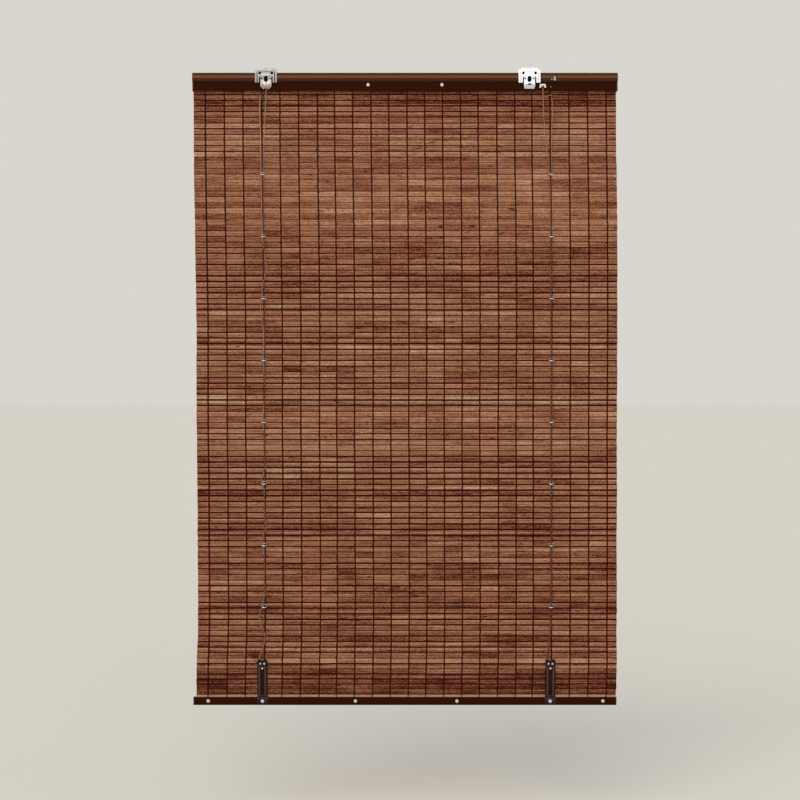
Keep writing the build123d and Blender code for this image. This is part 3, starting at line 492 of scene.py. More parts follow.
def slatRows(first, last, seed):
    # every row's shape, and for its look: place in the grain and on the mat, painted groove shade, painted
    # corner highlight, tone with the painted light of each row, and thread cell
    facts = matFacts
    stops = [-facts["half"]] + facts["threads"] + [facts["half"]]
    half, neck = facts["thick"] / 2, facts["neck"] / 2
    bendStops = np.linspace(-facts["half"], facts["half"], 9)
    wobble, gaps = {}, {}
    for k in range(first, last + 1):
        random.seed(seed + k)
        slow = [random.uniform(-0.3, 0.3) for _ in range(9)]
        wobble[k] = [float(np.interp(u, bendStops, slow)) * mm + random.uniform(-0.2, 0.2) * mm for u in stops]
        share = float(np.interp(k, facts["gapRows"], facts["gapShare"]))
        gaps[k] = facts["gap"] * share * random.choice([0.6, 0.85, 0.95, 1.0, 1.1, 1.2])
    verts, faces, grain, flat, edge, worn, tone, cells, column = [], [], [], [], [], [], [], [], []
    for k in range(first, last):
        cuts = random.choice([[], [], [0.5], [0.42], [0.58], [], [0.36], [0.64]])
        # painted light by row: the rail's painted shadow at the top, and the crease's painted highlight and
        # shade
        stain = float(np.interp(k, facts["stainRows"], facts["stain"]))
        stain += float(np.interp(k - creaseSlat, facts["creaseRows"], facts["creaseStain"]))
        section = slatSection(gaps[k], gaps[k + 1], cuts, random.uniform(0.02, 0.1) * mm, half, neck)
        n = len(section)
        lift, lower = random.uniform(-0.10, 0.12) * mm, random.uniform(-0.16, 0.16) * mm
        tones = [stain + random.gauss(0.0, 0.12) for _ in range(len(cuts) + 1)]
        start = len(verts)
        endLeft, endRight = random.uniform(-0.5, 0.5), random.uniform(-0.5, 0.5)
        for j, u in enumerate(stops):
            u += endLeft if j == 0 else endRight if j == len(stops) - 1 else 0.0
            for t, out, dark, pale in section:
                share = t / slatPitch
                bend = wobble[k][j] * (1 - share) + wobble[k + 1][j] * share
                s = rowRun(k) + share * (rowRun(k + 1) - rowRun(k)) + bend
                (y, z), (ny, nz) = matAt(s)
                rise = out + (lift + lower * (share - 0.5)) * (1 if abs(out) > neck * 1.01 else 0)
                x = acrossAt(u, z)
                verts.append((x, y + ny * rise, z + nz * rise))
                grain.append((x, t, k * 3.7 + 1.3 * sum(share > c for c in cuts)))
                flat.append((x, s, 0.0))
                edge.append(dark)
                worn.append(pale)
                column.append(j)
        for j in range(len(stops) - 1):
            a, b = start + j * n, start + (j + 1) * n
            cell = random.gauss(0.0, 0.075)
            for i in range(n):
                m = (i + 1) % n
                faces.append([a + i, a + m, b + m, b + i])
                middle = (section[i][0] + section[m][0]) / 2 / slatPitch
                tone.append(tones[sum(middle > c for c in cuts)] + cell)
            cells += [j] * n
        faces.append([start + i for i in range(n)][::-1])
        faces.append([start + (len(stops) - 1) * n + i for i in range(n)])
        tone += [tones[0], tones[-1]]
        cells += [0, len(stops) - 2]
    return verts, faces, grain, flat, edge, worn, tone, cells, column


def makeReeds(name, first, last, body, seed):
    verts, faces, grain, flat, edge, worn, tone, cells, column = slatRows(first, last, seed)
    piece = makePiece(name, verts, faces, reedMaterial, body, "reed", 40, ("reed_mat",))
    marks = piece.data.attributes
    for mark, kind, where, key, values in (
            ("grain", "FLOAT_VECTOR", "POINT", "vector", grain),
            ("flat", "FLOAT_VECTOR", "POINT", "vector", flat),
            ("edge", "FLOAT", "POINT", "value", edge), ("worn", "FLOAT", "POINT", "value", worn),
            ("tone", "FLOAT", "FACE", "value", tone)):
        marks.new(mark, kind, where).data.foreach_set(key, np.array(values, np.float32).ravel())
    # how far across its cell each corner is, 0 and 1 at the threads and a half at the mat's ends
    mesh = piece.data
    corners, sizes = np.zeros(len(mesh.loops), np.int32), np.zeros(len(mesh.polygons), np.int32)
    mesh.loops.foreach_get("vertex_index", corners)
    mesh.polygons.foreach_get("loop_total", sizes)
    places = np.array(column)[corners]
    share = (places - np.repeat(np.array(cells), sizes)).astype(np.float32)
    share[(places == 0) | (places == max(column))] = 0.5
    mesh.attributes.new("across", "FLOAT", "CORNER").data.foreach_set("value", share)
    return piece


upperReeds = makeReeds("reedsUpper", 0, creaseSlat, "headrail_unit", 11)
lowerReeds = makeReeds("reedsLower", creaseSlat, slatCount, "bottom_unit", 11)
print("reeds", len(upperReeds.data.polygons), len(lowerReeds.data.polygons))
print("rows", slatCount, "crease", creaseSlat)

threadFacts = {"radius": 1.15 * mm, "knotWide": 2.0 * mm, "knotHigh": 1.7 * mm, "knotDeep": 1.2 * mm,
               "sway": 1.05 * mm}


def threadRows(first, last, seed):
    # on each face of the mat a thread goes over a pick, dips in the groove and comes up on the other side
    random.seed(seed)
    half, radius = matFacts["thick"] / 2, threadFacts["radius"]
    over, dip = half + radius * 0.55, 0.5 * mm
    parts = []
    for u in matFacts["threads"]:
        wander = [random.uniform(-0.9, 0.9) * mm for _ in range(9)]
        for face in (1, -1):
            points = []
            for k in range(first, last):
                side = 1 if k % 2 else -1
                drift = float(np.interp(k, np.linspace(0, slatCount, 9), wander))
                turn = threadFacts["sway"] * random.uniform(0.5, 1.3)
                for t, out, sway in ((0.0, dip, 0.0), (0.26, over, -side * turn), (0.74, over, side * turn)):
                    (y, z), (ny, nz) = matAt(rowRun(k) + t * (rowRun(k + 1) - rowRun(k)))
                    points.append((acrossAt(u, z) + drift + sway, y + ny * out * face, z + nz * out * face))
            (y, z), (ny, nz) = matAt(rowRun(last))
            points.append((acrossAt(u, z) + drift, y + ny * dip * face, z + nz * dip * face))
            parts.append(tubeAlong(points, radius, 5))
    return joined(parts)


def knotRows(first, last, seed):
    random.seed(seed)
    base = bmesh.new()
    bmesh.ops.create_icosphere(base, subdivisions=1, radius=1.0)
    ball = [v.co.copy() for v in base.verts], [[v.index for v in f.verts] for f in base.faces]
    base.free()
    facts = threadFacts
    parts = []
    for u in matFacts["threads"]:
        for k in range(first, last + 1):
            (y, z), _ = matAt(rowRun(k))
            size = random.uniform(0.75, 1.2)
            place = Matrix.Translation((acrossAt(u, z) + random.uniform(-0.3, 0.3) * mm, y, z))
            spread = Matrix.Diagonal((facts["knotWide"] * size, facts["knotDeep"], facts["knotHigh"] * size, 1))
            parts.append(moved(ball, place @ Matrix.Rotation(random.uniform(0, 3), 4, "Y") @ spread))
    return joined(parts)


for name, first, last, body, seed in (("Upper", 1, creaseSlat, "headrail_unit", 21),
                                      ("Lower", creaseSlat, slatCount - 1, "bottom_unit", 22)):
    upper = name == "Upper"
    threads = makePiece("warpThreads" + name, *threadRows(first, last, seed), threadPolyester, body, "reed", 60)
    # the knots in the crease's own groove are the lower piece's
    knotParts = knotRows(first, last - 1 if upper else last, seed + 5)
    knots = makePiece("warpKnots" + name, *knotParts, threadPolyester, body, "reed", 60)
    if upper:
        gather(threads)
        gather(knots)
gather(upperReeds)
print("threads and knots")

# in mm: web, crest and lipBack are distances from the wall, bulge is its height, mouth the mat's channel
railFacts = {
    "drop": 9.0, "height": 38.5, "front": 43.2, "web": 10.0, "crest": 3.2, "bulge": 21.5,
    "lipBack": 7.0, "lipHigh": 2.2, "half": 455.0, "round": 2.0, "mouth": 17.0, "hook": 38.0,
}


def arcPoints(centre, radius, startDeg, endDeg, steps):
    angles = [math.radians(startDeg + (endDeg - startDeg) * i / steps) for i in range(steps + 1)]
    return [(centre[0] + radius * math.cos(a), centre[1] + radius * math.sin(a)) for a in angles]


def railOutline():
    f = railFacts
    top = -f["drop"]
    bottom = -f["drop"] - f["height"]
    half = f["bulge"] / 2
    depth = f["web"] - f["crest"]
    radius = (half * half + depth * depth) / (2 * depth)
    spread = math.degrees(math.asin(half / radius))
    points = arcPoints((f["crest"] + radius, top - half), radius, 180 - spread, 180 + spread, 28)
    lipTop = bottom + f["lipHigh"]
    points += [(f["web"], lipTop + 0.5), (f["web"] - 0.5, lipTop)]
    points += arcPoints((f["lipBack"] + 0.6, lipTop - 0.6), 0.6, 90, 180, 4)
    points += arcPoints((f["lipBack"] + 0.6, bottom + 0.6), 0.6, 180, 270, 4)
    mouth, hook = f["mouth"], f["hook"]
    points += [(mouth - 2.0, bottom), (mouth - 2.0, bottom + 1.2), (mouth - 5.8, bottom + 1.2),
               (mouth - 5.8, bottom + 6.8), (mouth + 5.8, bottom + 6.8), (mouth + 5.8, bottom + 1.2),
               (mouth + 2.0, bottom + 1.2), (mouth + 2.0, bottom)]
    points += arcPoints((f["front"] - f["round"], bottom + f["round"]), f["round"], 270, 360, 6)
    points += arcPoints((f["front"] - f["round"], top - f["round"]), f["round"], 0, 90, 6)
    points += [(hook + 3.0, top), (hook + 3.0, top - 1.2), (hook + 4.0, top - 1.2), (hook + 4.0, top - 4.4),
               (hook, top - 4.4), (hook, top)]
    return [(y * mm, z * mm) for y, z in points]


railHalf = railFacts["half"] * mm
rail = makePiece("railExtrusion", *prismX(railOutline(), -railHalf, railHalf), railPaint, "headrail_unit",
                 "rail_paint", 25, ("headrail",))
rail.data.materials.append(shadedLacquer)
# the web and the lip get the shaded copy of the lacquer: painted shade under the bulge
web = railFacts["web"] * mm
lipTop = -(railFacts["drop"] + railFacts["height"] - railFacts["lipHigh"] - 0.8) * mm
for face in rail.data.polygons:
    onWeb = abs(face.center.y - web) < 0.1 * mm and abs(face.normal.y) > 0.9
    face.material_index = 1 if onWeb or (face.center.z < lipTop and face.center.y < web) else 0

barFacts = {"top": -1354.5, "height": 17.2, "depth": 12.0, "y": 25.0, "half": 455.4, "round": 1.6,
            "slot": 1.3, "slotDeep": 6.0}


def barOutline():
    f = barFacts
    low, high = f["top"] - f["height"], f["top"]
    near, far = f["y"] - f["depth"] / 2, f["y"] + f["depth"] / 2
    r = f["round"]
    points = arcPoints((near + r, low + r), r, 180, 270, 6) + arcPoints((far - r, low + r), r, 270, 360, 6)
    points += arcPoints((far - r, high - r), r, 0, 90, 6)
    slotFar, slotNear, slotLow = f["y"] + f["slot"], f["y"] - f["slot"], high - f["slotDeep"]
    points += [(slotFar, high), (slotFar, slotLow), (slotNear, slotLow), (slotNear, high)]
    points += arcPoints((near + r, high - r), r, 90, 180, 6)
    return [(y * mm, z * mm) for y, z in points]


barHalf = barFacts["half"] * mm
# the bottom bar in the shaded copy of the lacquer: painted shade
makePiece("bottomBar", *prismX(barOutline(), -barHalf, barHalf), shadedLacquer, "bottom_unit", "rail_paint", 25,
          ("bottom_rail",))
print("rails")

ringFacts = {"first": 225.5, "pitch": 133.2, "outer": 7.2, "wire": 1.9, "tilt": 25.0,
             "columns": (-304.4, 316.1), "seat": 0.3}


def ringHeight(row):
    return -(ringFacts["first"] + ringFacts["pitch"] * row) * mm


def ringMiddle(row):
    f = ringFacts
    tilt = math.radians(f["tilt"])
    reach = f["outer"] * math.cos(tilt) + f["wire"] / 2 * math.sin(tilt)
    return matYAt(ringHeight(row)) - (0.9 + f["seat"] + reach) * mm


for row in range(8):
    parts = []
    for side, _ in bothSides:
        wire = ringFacts["wire"] / 2 * mm
        middle = ringFacts["outer"] * mm - wire
        ring = tubeAlong([(x, y, 0) for x, y in oval(0, 0, middle, middle, 40)], wire, 10, closed=True)
        place = Matrix.Translation((columnAt(side, ringHeight(row)), ringMiddle(row), ringHeight(row)))
        parts.append(moved(ring, place @ turned(ringFacts["tilt"], "X")))
    node = "ring_row_%d" % (row + 1)
    makePiece("ringPair%d" % (row + 1), *joined(parts), ringMetal, node, "ring_plastic", 60, (node,))
print("rings")

# in mm; up the plate from its foot, or down it from its top for the horns and studs
cleatFacts = {
    "x": (-307.6, 313.6), "width": 21.6, "plate": 2.4, "length": 80.0, "footWide": 24.4, "footThick": 2.4,
    "ribWide": 4.2, "ribHigh": 5.6, "ribMiddle": 6.4, "ribEnd": 66.0, "bars": (6.2, 11.4), "barHigh": 3.2,
    "hornRadius": 3.2, "hornHigh": 7.0, "hornApart": 14.8, "hornIn": 3.4,
    "studRadius": 2.1, "studHigh": 7.6, "studs": ((-4.3, 8.4), (4.3, 8.4), (0.0, 18.6)),
}
# the mat's lean below the crease, which the cleats lie along
(creaseY, creaseZ), (leanY, leanBottom) = matFacts["corners"][4:6]
lean = math.atan2(leanY - creaseY, creaseZ - leanBottom)
cleatUp = Vector((0, -math.sin(lean), math.cos(lean)))
cleatOut = Vector((0, -math.cos(lean), -math.sin(lean)))


def cleatMatrix(side):
    x = cleatFacts["x"][0 if side < 0 else 1]
    base = (Vector((x, leanY, leanBottom)) + cleatOut * (0.9 + 0.7)) * mm
    turn = Matrix((Vector((1, 0, 0)), cleatUp, cleatOut)).transposed().to_4x4()
    return Matrix.Translation(base) @ turn @ millimetres


def cleatPoint(side, across, up, out):
    return cleatMatrix(side) @ Vector((across, up, out))


def cleatShape(side):
    f = cleatFacts
    half, plate = f["width"] / 2, f["plate"]
    top = f["length"]
    outline = [(-half, 0), (half, 0), (half, top - 2.6), (half - 2.6, top), (4.5, top), (0, top - 4.5),
               (-4.5, top), (-half + 2.6, top), (-half, top - 2.6)]
    n = len(outline)
    flat = [(x, y, 0) for x, y in outline] + [(x, y, plate) for x, y in outline]
    sides = [[i, (i + 1) % n, n + (i + 1) % n, n + i] for i in range(n)]
    parts = [(flat, sides + [list(range(n))[::-1], list(range(n, 2 * n))])]
    for x in (-half + 0.7, half - 0.7):
        parts.append(softBox((x - 0.7, x + 0.7), (0, 62), (plate - 0.4, plate + 1.6), 0.4, 2))
    for x in (-f["hornApart"] / 2, f["hornApart"] / 2):
        r, h = f["hornRadius"], f["hornHigh"]
        horn = lathe([(0, -0.5), (r * 0.92, -0.5), (r * 0.86, h * 0.35), (r * 0.9, h * 0.6), (r, h * 0.8),
                      (r * 0.9, h * 0.94), (r * 0.5, h), (0, h)], 20)
        parts.append(moved(horn, Matrix.Translation((x, top - f["hornIn"], plate))))
    for up in f["bars"]:
        parts.append(softBox((-f["ribMiddle"], f["ribMiddle"]), (up - 1.2, up + 1.2),
                             (plate - 0.4, plate + f["barHigh"]), 0.5, 3))
    body = moved(joined(parts), cleatMatrix(side))
    x = f["x"][0 if side < 0 else 1]
    back, high = barFacts["y"] - barFacts["depth"] / 2, barFacts["top"]
    low, foot = high - barFacts["height"], f["footWide"] / 2
    tab = softBox((x - foot, x + foot), (back - f["footThick"], back), (low + 1.2, high), 0.6, 3)
    shelf = softBox((x - half, x + half), (back - f["footThick"], 21.4), (high - 0.5, high + 5.0), 0.6, 3)
    return joined([body, moved(tab, millimetres), moved(shelf, millimetres)])


def ribShape(side):
    # the two ribs, in the paler copy of the plate's plastic: a painted highlight
    f = cleatFacts
    plate = f["plate"]
    parts = []
    for x in (-f["ribMiddle"], f["ribMiddle"]):
        parts.append(softBox((x - f["ribWide"] / 2, x + f["ribWide"] / 2), (0, f["ribEnd"]),
                             (plate - 0.6, plate + f["ribHigh"]), 1.3, 4))
    return moved(joined(parts), cleatMatrix(side))


def studShape(side):
    f = cleatFacts
    parts = []
    for x, down in f["studs"]:
        r, h = f["studRadius"], f["studHigh"]
        slopes = [math.radians(a) for a in range(0, 90, 15)]
        dome = [(r * math.cos(a), h - r * 0.8 + r * 0.8 * math.sin(a)) for a in slopes]
        pin = lathe([(0, -0.3), (r, -0.3)] + dome + [(0, h)], 20)
        parts.append(moved(pin, Matrix.Translation((x, f["length"] - down, f["plate"]))))
    return moved(joined(parts), cleatMatrix(side))


def wrapShape(side):
    # the cord's squared turns round the two bars
    f = cleatFacts
    parts = []
    for up in f["bars"]:
        for turn, x in enumerate((-1.9, -0.65, 0.65, 1.9)):
            loop = []
            for i in range(18):
                a = 2 * math.pi * i / 18
                c, s = math.cos(a), math.sin(a)
                loop.append((x + 0.2 * math.sin(a + turn), up + 1.75 * math.copysign(abs(c) ** 0.7, c),
                             f["plate"] + 2.2 + 1.85 * math.copysign(abs(s) ** 0.8, s)))
            parts.append(tubeAlong(loop, 0.6, 6, closed=True))
    return moved(joined(parts), cleatMatrix(side))


def screwShape(seatY, x, z, slotTurn):
    # a pan head with a shank, and its cross recess drawn as near-black bars: painted shade
    profile = [(0, -8.0), (1.6, -8.0), (1.6, 0.0), (3.7, 0.0), (3.65, 0.45), (3.3, 1.0), (2.7, 1.45),
               (1.9, 1.62), (1.1, 1.35), (0.55, 0.3), (0, 0.15)]
    bar = softBox((-1.75, 1.75), (-0.32, 0.32), (1.36, 1.72), 0.05, 1)
    bars = [moved(bar, turned(angle + slotTurn, "Z")) for angle in (0, 90)]
    place = Matrix.Translation((x * mm, seatY * mm, z * mm)) @ turned(90, "X") @ millimetres
    return moved(lathe(profile, 28), place), moved(joined(bars), place)


def makeScrews(name, body, node, seats):
    heads, recesses = zip(*[screwShape(*seat) for seat in seats])
    makePiece(name + "s", *joined(heads), zincSteel, body, "screw_zinc", 35, (node,))
    # the recess bars in near black: painted shade
    makePiece(name + "Recesses", *joined(recesses), blackNylonAndRecessShade, body, "screw_zinc", 35)


for side, word in bothSides:
    for name, shape, material, slotName, smoothDeg, node in (
            ("cleat_", cleatShape, cleatPlastic, "cleat_brown", 35, "cleat_body_"),
            ("cleatRibs_", ribShape, ribHighlightPlastic, "cleat_brown", 35, "cleat_body_"),
            ("cleatStuds_", studShape, zincSteel, "screw_zinc", 40, "cleat_studs_"),
            ("cleatTurns_", wrapShape, darkBraid, "cord_tan", 50, "cleat_wraps_")):
        makePiece(name + word, *shape(side), material, "bottom_unit", slotName, smoothDeg, (node + word,))

screwRow = barFacts["top"] - 8.4
backFace = barFacts["y"] - barFacts["depth"] / 2
barSeats = [(backFace, x, screwRow, 20 + 37 * i) for i, x in enumerate((-425.0, -107.0, 112.2, 427.6))]
barSeats += [(backFace - cleatFacts["footThick"], x, screwRow, 10 + 50 * i)
             for i, x in enumerate(cleatFacts["x"])]
makeScrews("barScrew", "bottom_unit", "bottom_screws", barSeats)
makeScrews("railScrew", "headrail_unit", "motor_screws",
           [(railFacts["web"], x, -35.0, 30 + 40 * i) for i, x in enumerate((-79.4, 79.4))])
print("cleats and screws")

# in mm; pairs are for the left and the right side
cordFacts = {
    "radius": 0.8, "outlet": 295.8, "front": 6.0, "guardApart": 2.4, "guardSeat": (2.2, 0.8), "guardTop": 60.0,
    "knot": 1.9, "sagOut": 3.4, "wander": (-0.6, 0.7, -0.3, 0.8, -0.7, 0.5, -0.4, 0.6),
    # the lift cords below the hoods, as (x, z)
    "starts": (((-297.8, -43.4), (-299.2, -66), (-301.4, -118)),
               ((296.0, -43.4), (298.2, -108), (301.6, -160))),
    # where the guard cords hang slack: by ring, from the column and down from the ring
    "sags": {
        -1: {1: ((0.2, 26), (3.4, 52), (7.4, 64), (3.2, 82), (-1.6, 104), (-4.6, 126)),
             2: ((-7.4, 10), (-7.0, 30), (-2.0, 46), (0.0, 96)),
             3: ((1.2, 42), (1.0, 92)),
             4: ((1.4, 30), (0.6, 80), (3.4, 102), (-2.4, 114), (-7.6, 126)),
             5: ((1.4, 28), (1.6, 80), (5.4, 100), (-2.0, 114), (-7.8, 126)),
             6: ((2.0, 40), (1.0, 96), (4.0, 108), (-4.6, 126)),
             7: ((-9.6, 12), (-9.8, 30), (-6.0, 46), (2.6, 62), (0.6, 84))},
        1: {0: ((0.8, 40), (-1.8, 90)), 2: ((-1.6, 50),), 4: ((0.8, 60),),
            7: ((-0.6, 60), (-5.0, 88), (-8.4, 104))},
    },
    # loose ends of the knots, from the knot: across, up and towards the wall
    "hooks": {
        "Dark_left": ((0, 0, 0.4), (3.2, 1.5, 0.6), (6.6, -0.6, 0.6), (4.2, -4.6, 0.5), (7.4, -6.0, 0.6),
                      (8.8, -9.4, 0.6), (5.8, -11.4, 0.4), (3.4, -9.4, 0.3)),
        "Light_left": ((0, 0, 0.5), (2.2, -3.4, 1.2), (3.4, -6.2, 1.0)),
        "Dark_right": ((0, 0, 0.4), (-3.6, -1.6, 0.6), (-6.6, -4.2, 0.6), (-3.8, -5.4, 0.4), (-0.8, -7.0, 0.3)),
        "Light_right": ((0, 0, 0.6), (-3.8, 0.6, 0.9), (-8.0, 0.0, 0.8), (-11.8, -4.4, 0.5)),
    },
}


def smoothRoute(points):
    # the route as a NURBS line, read back as points
    curve = bpy.data.curves.new("route", "CURVE")
    curve.dimensions = "3D"
    curve.resolution_u = 12
    spline = curve.splines.new("NURBS")
    spline.points.add(len(points) - 1)
    for slot, p in zip(spline.points, points):
        slot.co = (p[0], p[1], p[2], 1)
    spline.order_u = 3
    spline.use_endpoint_u = True
    holder = bpy.data.objects.new("route", curve)
    bpy.context.scene.collection.objects.link(holder)
    bpy.context.view_layer.update()
    mesh = bpy.data.meshes.new_from_object(holder)
    line = [v.co.copy() for v in mesh.vertices]
    bpy.data.objects.remove(holder)
    bpy.data.curves.remove(curve)
    bpy.data.meshes.remove(mesh)
    return line


def makeCord(name, points, material, body, node, radius=None, sides=6, strands=()):
    radius = radius or cordFacts["radius"] * (1.15 if material is paleBraid else 1) * mm
    line = smoothRoute(points)
    piece = makePiece(name, *tubeAlong(line, radius, sides), material, body, "cord_tan", 60, (node,))
    along = []
    if strands:
        # the braid has come undone here: thin strands fan out of the cord
        routes = [[cleatPoint(-1, -x, up, out) for x, up, out in strand] for strand in strands]
        threads = [tubeAlong(smoothRoute(route), radius * 0.6, 5) for route in routes]
        along = [makePiece(name + "Strands", *joined(threads), material, body, "cord_tan", 60)]
    return piece


def dropRoute(side, start, aside):
    # through the rings, where aside is the cord's place; between them it hangs askew, as the sags say
    points = list(start)
    for row in range(8):
        z = ringHeight(row)
        points.append((columnAt(side, z) + (aside + cordFacts["wander"][row]) * mm, ringMiddle(row), z))
        for x, down in cordFacts["sags"][side].get(row, ()) if aside * side > 0 else ():
            z = ringHeight(row) - down * mm
            points.append((columnAt(side, z) + x * mm, matYAt(z) - cordFacts["sagOut"] * mm, z))
    return points


def notchPoint(side):
    return cleatPoint(side, 0, cleatFacts["length"] - 1.5, cleatFacts["plate"] + 2.2)


def hornPoint(side):
    f = cleatFacts
    over = f["length"] - f["hornIn"] + f["hornRadius"] + 0.9
    return cleatPoint(side, -f["hornApart"] / 2, over, f["plate"] + 3.4)


for side, word in bothSides:
    # the lift cord goes into the left cleat's notch and over the right one's horn; the guard cord the other way
    left = side < 0
    start = [(x * mm, cordFacts["front"] * mm, z * mm) for x, z in cordFacts["starts"][0 if left else 1]]
    end = notchPoint(side) if left else hornPoint(side)
    route = dropRoute(side, start, -side * cordFacts["guardApart"] / 2) + [end]
    gather(makeCord("liftCord_" + word, route, cordBraid, "headrail_unit", "lift_cord_" + word))
    # the guard cord starts at a knot on a warp thread and bows out a little before it straightens
    top = -cordFacts["guardTop"] * mm
    knotX = columnAt(side, top) + side * cordFacts["guardApart"] / 2 * mm
    knotY = (17.0 - 0.9 - cordFacts["knot"] - 0.3) * mm
    bow = -2.8 * mm if left else 2.4 * mm
    start = [(knotX + bow * share, knotY, top - down * mm)
             for share, down in ((0, 0), (1, 14), (0.9, 40), (0, 82))]
    end = hornPoint(side) if left else notchPoint(side)
    route = dropRoute(side, start, side * cordFacts["guardSeat"][0 if left else 1]) + [end]
    braid = paleBraid if left else cordBraid
    gather(makeCord("guardCord_" + word, route, braid, "headrail_unit", "guard_cord_" + word))

    # the knot: two crossed turns of the light cord and one of the dark thread, with a short end sticking out
    r = 2.5 * mm
    middle = Matrix.Translation((knotX, knotY, top + 2.4 * mm))
    for material, tilts, label in ((cordBraid, (35, -35), "Light"), (darkBraid, (0, 80), "Dark")):
        loop = [(x, y, 0) for x, y in oval(0, 0, r * 0.9, r * 0.7, 20)]
        turn = tubeAlong(loop, 0.75 * mm, 6, closed=True)
        turns = [moved(turn, middle @ turned(tilt, "Y")) for tilt in tilts]
        hook = cordFacts["hooks"][label + "_" + word]
        points = [Vector((knotX + x * mm, knotY - rise * mm, top + (z + 2.4) * mm)) for x, z, rise in hook]
        turns.append(tubeAlong(smoothRoute(points), 0.85 * mm, 6))
        makePiece("guardKnot" + label + "_" + word, *joined(turns), material, "headrail_unit", "cord_tan", 50,
                  ("guard_knot_" + word,))

    f = cleatFacts
    out = f["plate"] + 2.2
    bottom = f["bars"][1] + 2.2
    lowStud = f["length"] - f["studs"][2][1]
    route = [
        cleatPoint(side, 0, f["length"] - 3.0, out),
        cleatPoint(side, f["studRadius"] + cordFacts["radius"] + 0.6, lowStud, out),
        cleatPoint(side, 0.3, lowStud - 14, out - 0.8),
        cleatPoint(side, -0.2, (bottom + lowStud) / 2 - 6, out - 0.9),
        cleatPoint(side, 0.2, bottom + 0.2, out - 0.6),
    ]
    # the cord's end down the cleat's channel is drawn in the dark cord, not its own tan: painted shade in the
    # channel
    makeCord("cleatCord_" + word, route, darkBraid, "bottom_unit", "cleat_cord_" + word)

f = cleatFacts
edge = -f["width"] / 2
tailRoute = [
    cleatPoint(-1, edge - 0.5, f["length"] - 8.0, f["plate"] - 0.6),
    cleatPoint(-1, edge - 5.2, f["length"] - 4.0, f["plate"] - 0.2),
    cleatPoint(-1, edge - 8.6, f["length"] + 4.6, f["plate"] + 0.4),
    cleatPoint(-1, edge - 8.8, f["length"] + 13.0, f["plate"] + 0.6),
    cleatPoint(-1, edge - 2.6, f["length"] + 21.5, f["plate"] + 0.2),
]
strands = [
    [(-edge - 2.2, 82.0, 2.6), (-edge + 3.4, 91.0, 3.0), (-edge + 5.6, 98.0, 2.8), (-edge + 4.6, 103.5, 2.6)],
    [(-edge + 8.8, 92.0, 2.8), (-edge + 6.0, 87.0, 3.2), (-edge - 1.0, 79.0, 2.8), (-edge - 3.4, 74.0, 2.4)],
    [(-edge + 8.6, 90.0, 3.0), (-edge + 13.2, 97.0, 3.0), (-edge + 15.0, 104.0, 2.8)],
]
makeCord("looseEnd", tailRoute, darkBraid, "bottom_unit", "cord_tail", radius=0.6 * mm,
         strands=strands)
print("cords")


def platePart(outline, holes, near, far, edge, flat=False):
    # a plate cut from sheet, with its holes, its edges rounded by edge mm; flat lays it along Y
    curve = bpy.data.curves.new("plate", "CURVE")
    curve.dimensions = "2D"
    curve.fill_mode = "BOTH"
    curve.extrude = (far - near) / 2 - edge
    curve.bevel_depth = edge
    curve.bevel_resolution = 2
    curve.offset = -edge
    for loop in [outline] + [hole[::-1] for hole in holes]:
        spline = curve.splines.new("POLY")
        spline.points.add(len(loop) - 1)
        for p, (u, v) in zip(spline.points, loop):
            p.co = (u, v, 0, 1)
        spline.use_cyclic_u = True
    holder = bpy.data.objects.new("plate", curve)
    bpy.context.scene.collection.objects.link(holder)
    bpy.context.view_layer.update()
    mesh = bpy.data.meshes.new_from_object(holder)
    bm = bmesh.new()
    bm.from_mesh(mesh)
    bmesh.ops.remove_doubles(bm, verts=bm.verts, dist=0.001)
    middle = (near + far) / 2
    for v in bm.verts:
        u, w, depth = v.co
        v.co = (u, w, middle + depth) if flat else (u, middle + depth, w)
    bm.verts.index_update()
    part = [v.co.copy() for v in bm.verts], [[v.index for v in f.verts] for f in bm.faces]
    bm.free()
    bpy.data.objects.remove(holder)
    bpy.data.curves.remove(curve)
    bpy.data.meshes.remove(mesh)
    return part


def mirrored(rightHalf):
    # the right half runs from the bottom middle round to the top middle
    return rightHalf + [(-u, v) for u, v in rightHalf[::-1] if abs(u) > 1e-6]


bracketFacts = {
    "x": (-298.5, 267.2), "sheet": 1.4, "clip": 1.0, "hook": 38.3, "rail": railFacts["front"] - 1.5,
    "screws": 13.0, "drop": 11.0, "ceiling": 21.0, "knee": -37.1, "toe": -43.2, "toeY": 5.2,
    "rivets": 9.2, "rivetRow": -22.2,
}


def dimple(radius, rise, y, z):
    # a low round dome on the wall side
    curve = [(radius * math.cos(a), rise * math.sin(a)) for a in (0.4, 0.8, 1.2)]
    dome = lathe([(radius, 0)] + curve + [(0, rise)], 16)
    return moved(dome, Matrix.Translation((0, y, z)) @ turned(90, "X"))


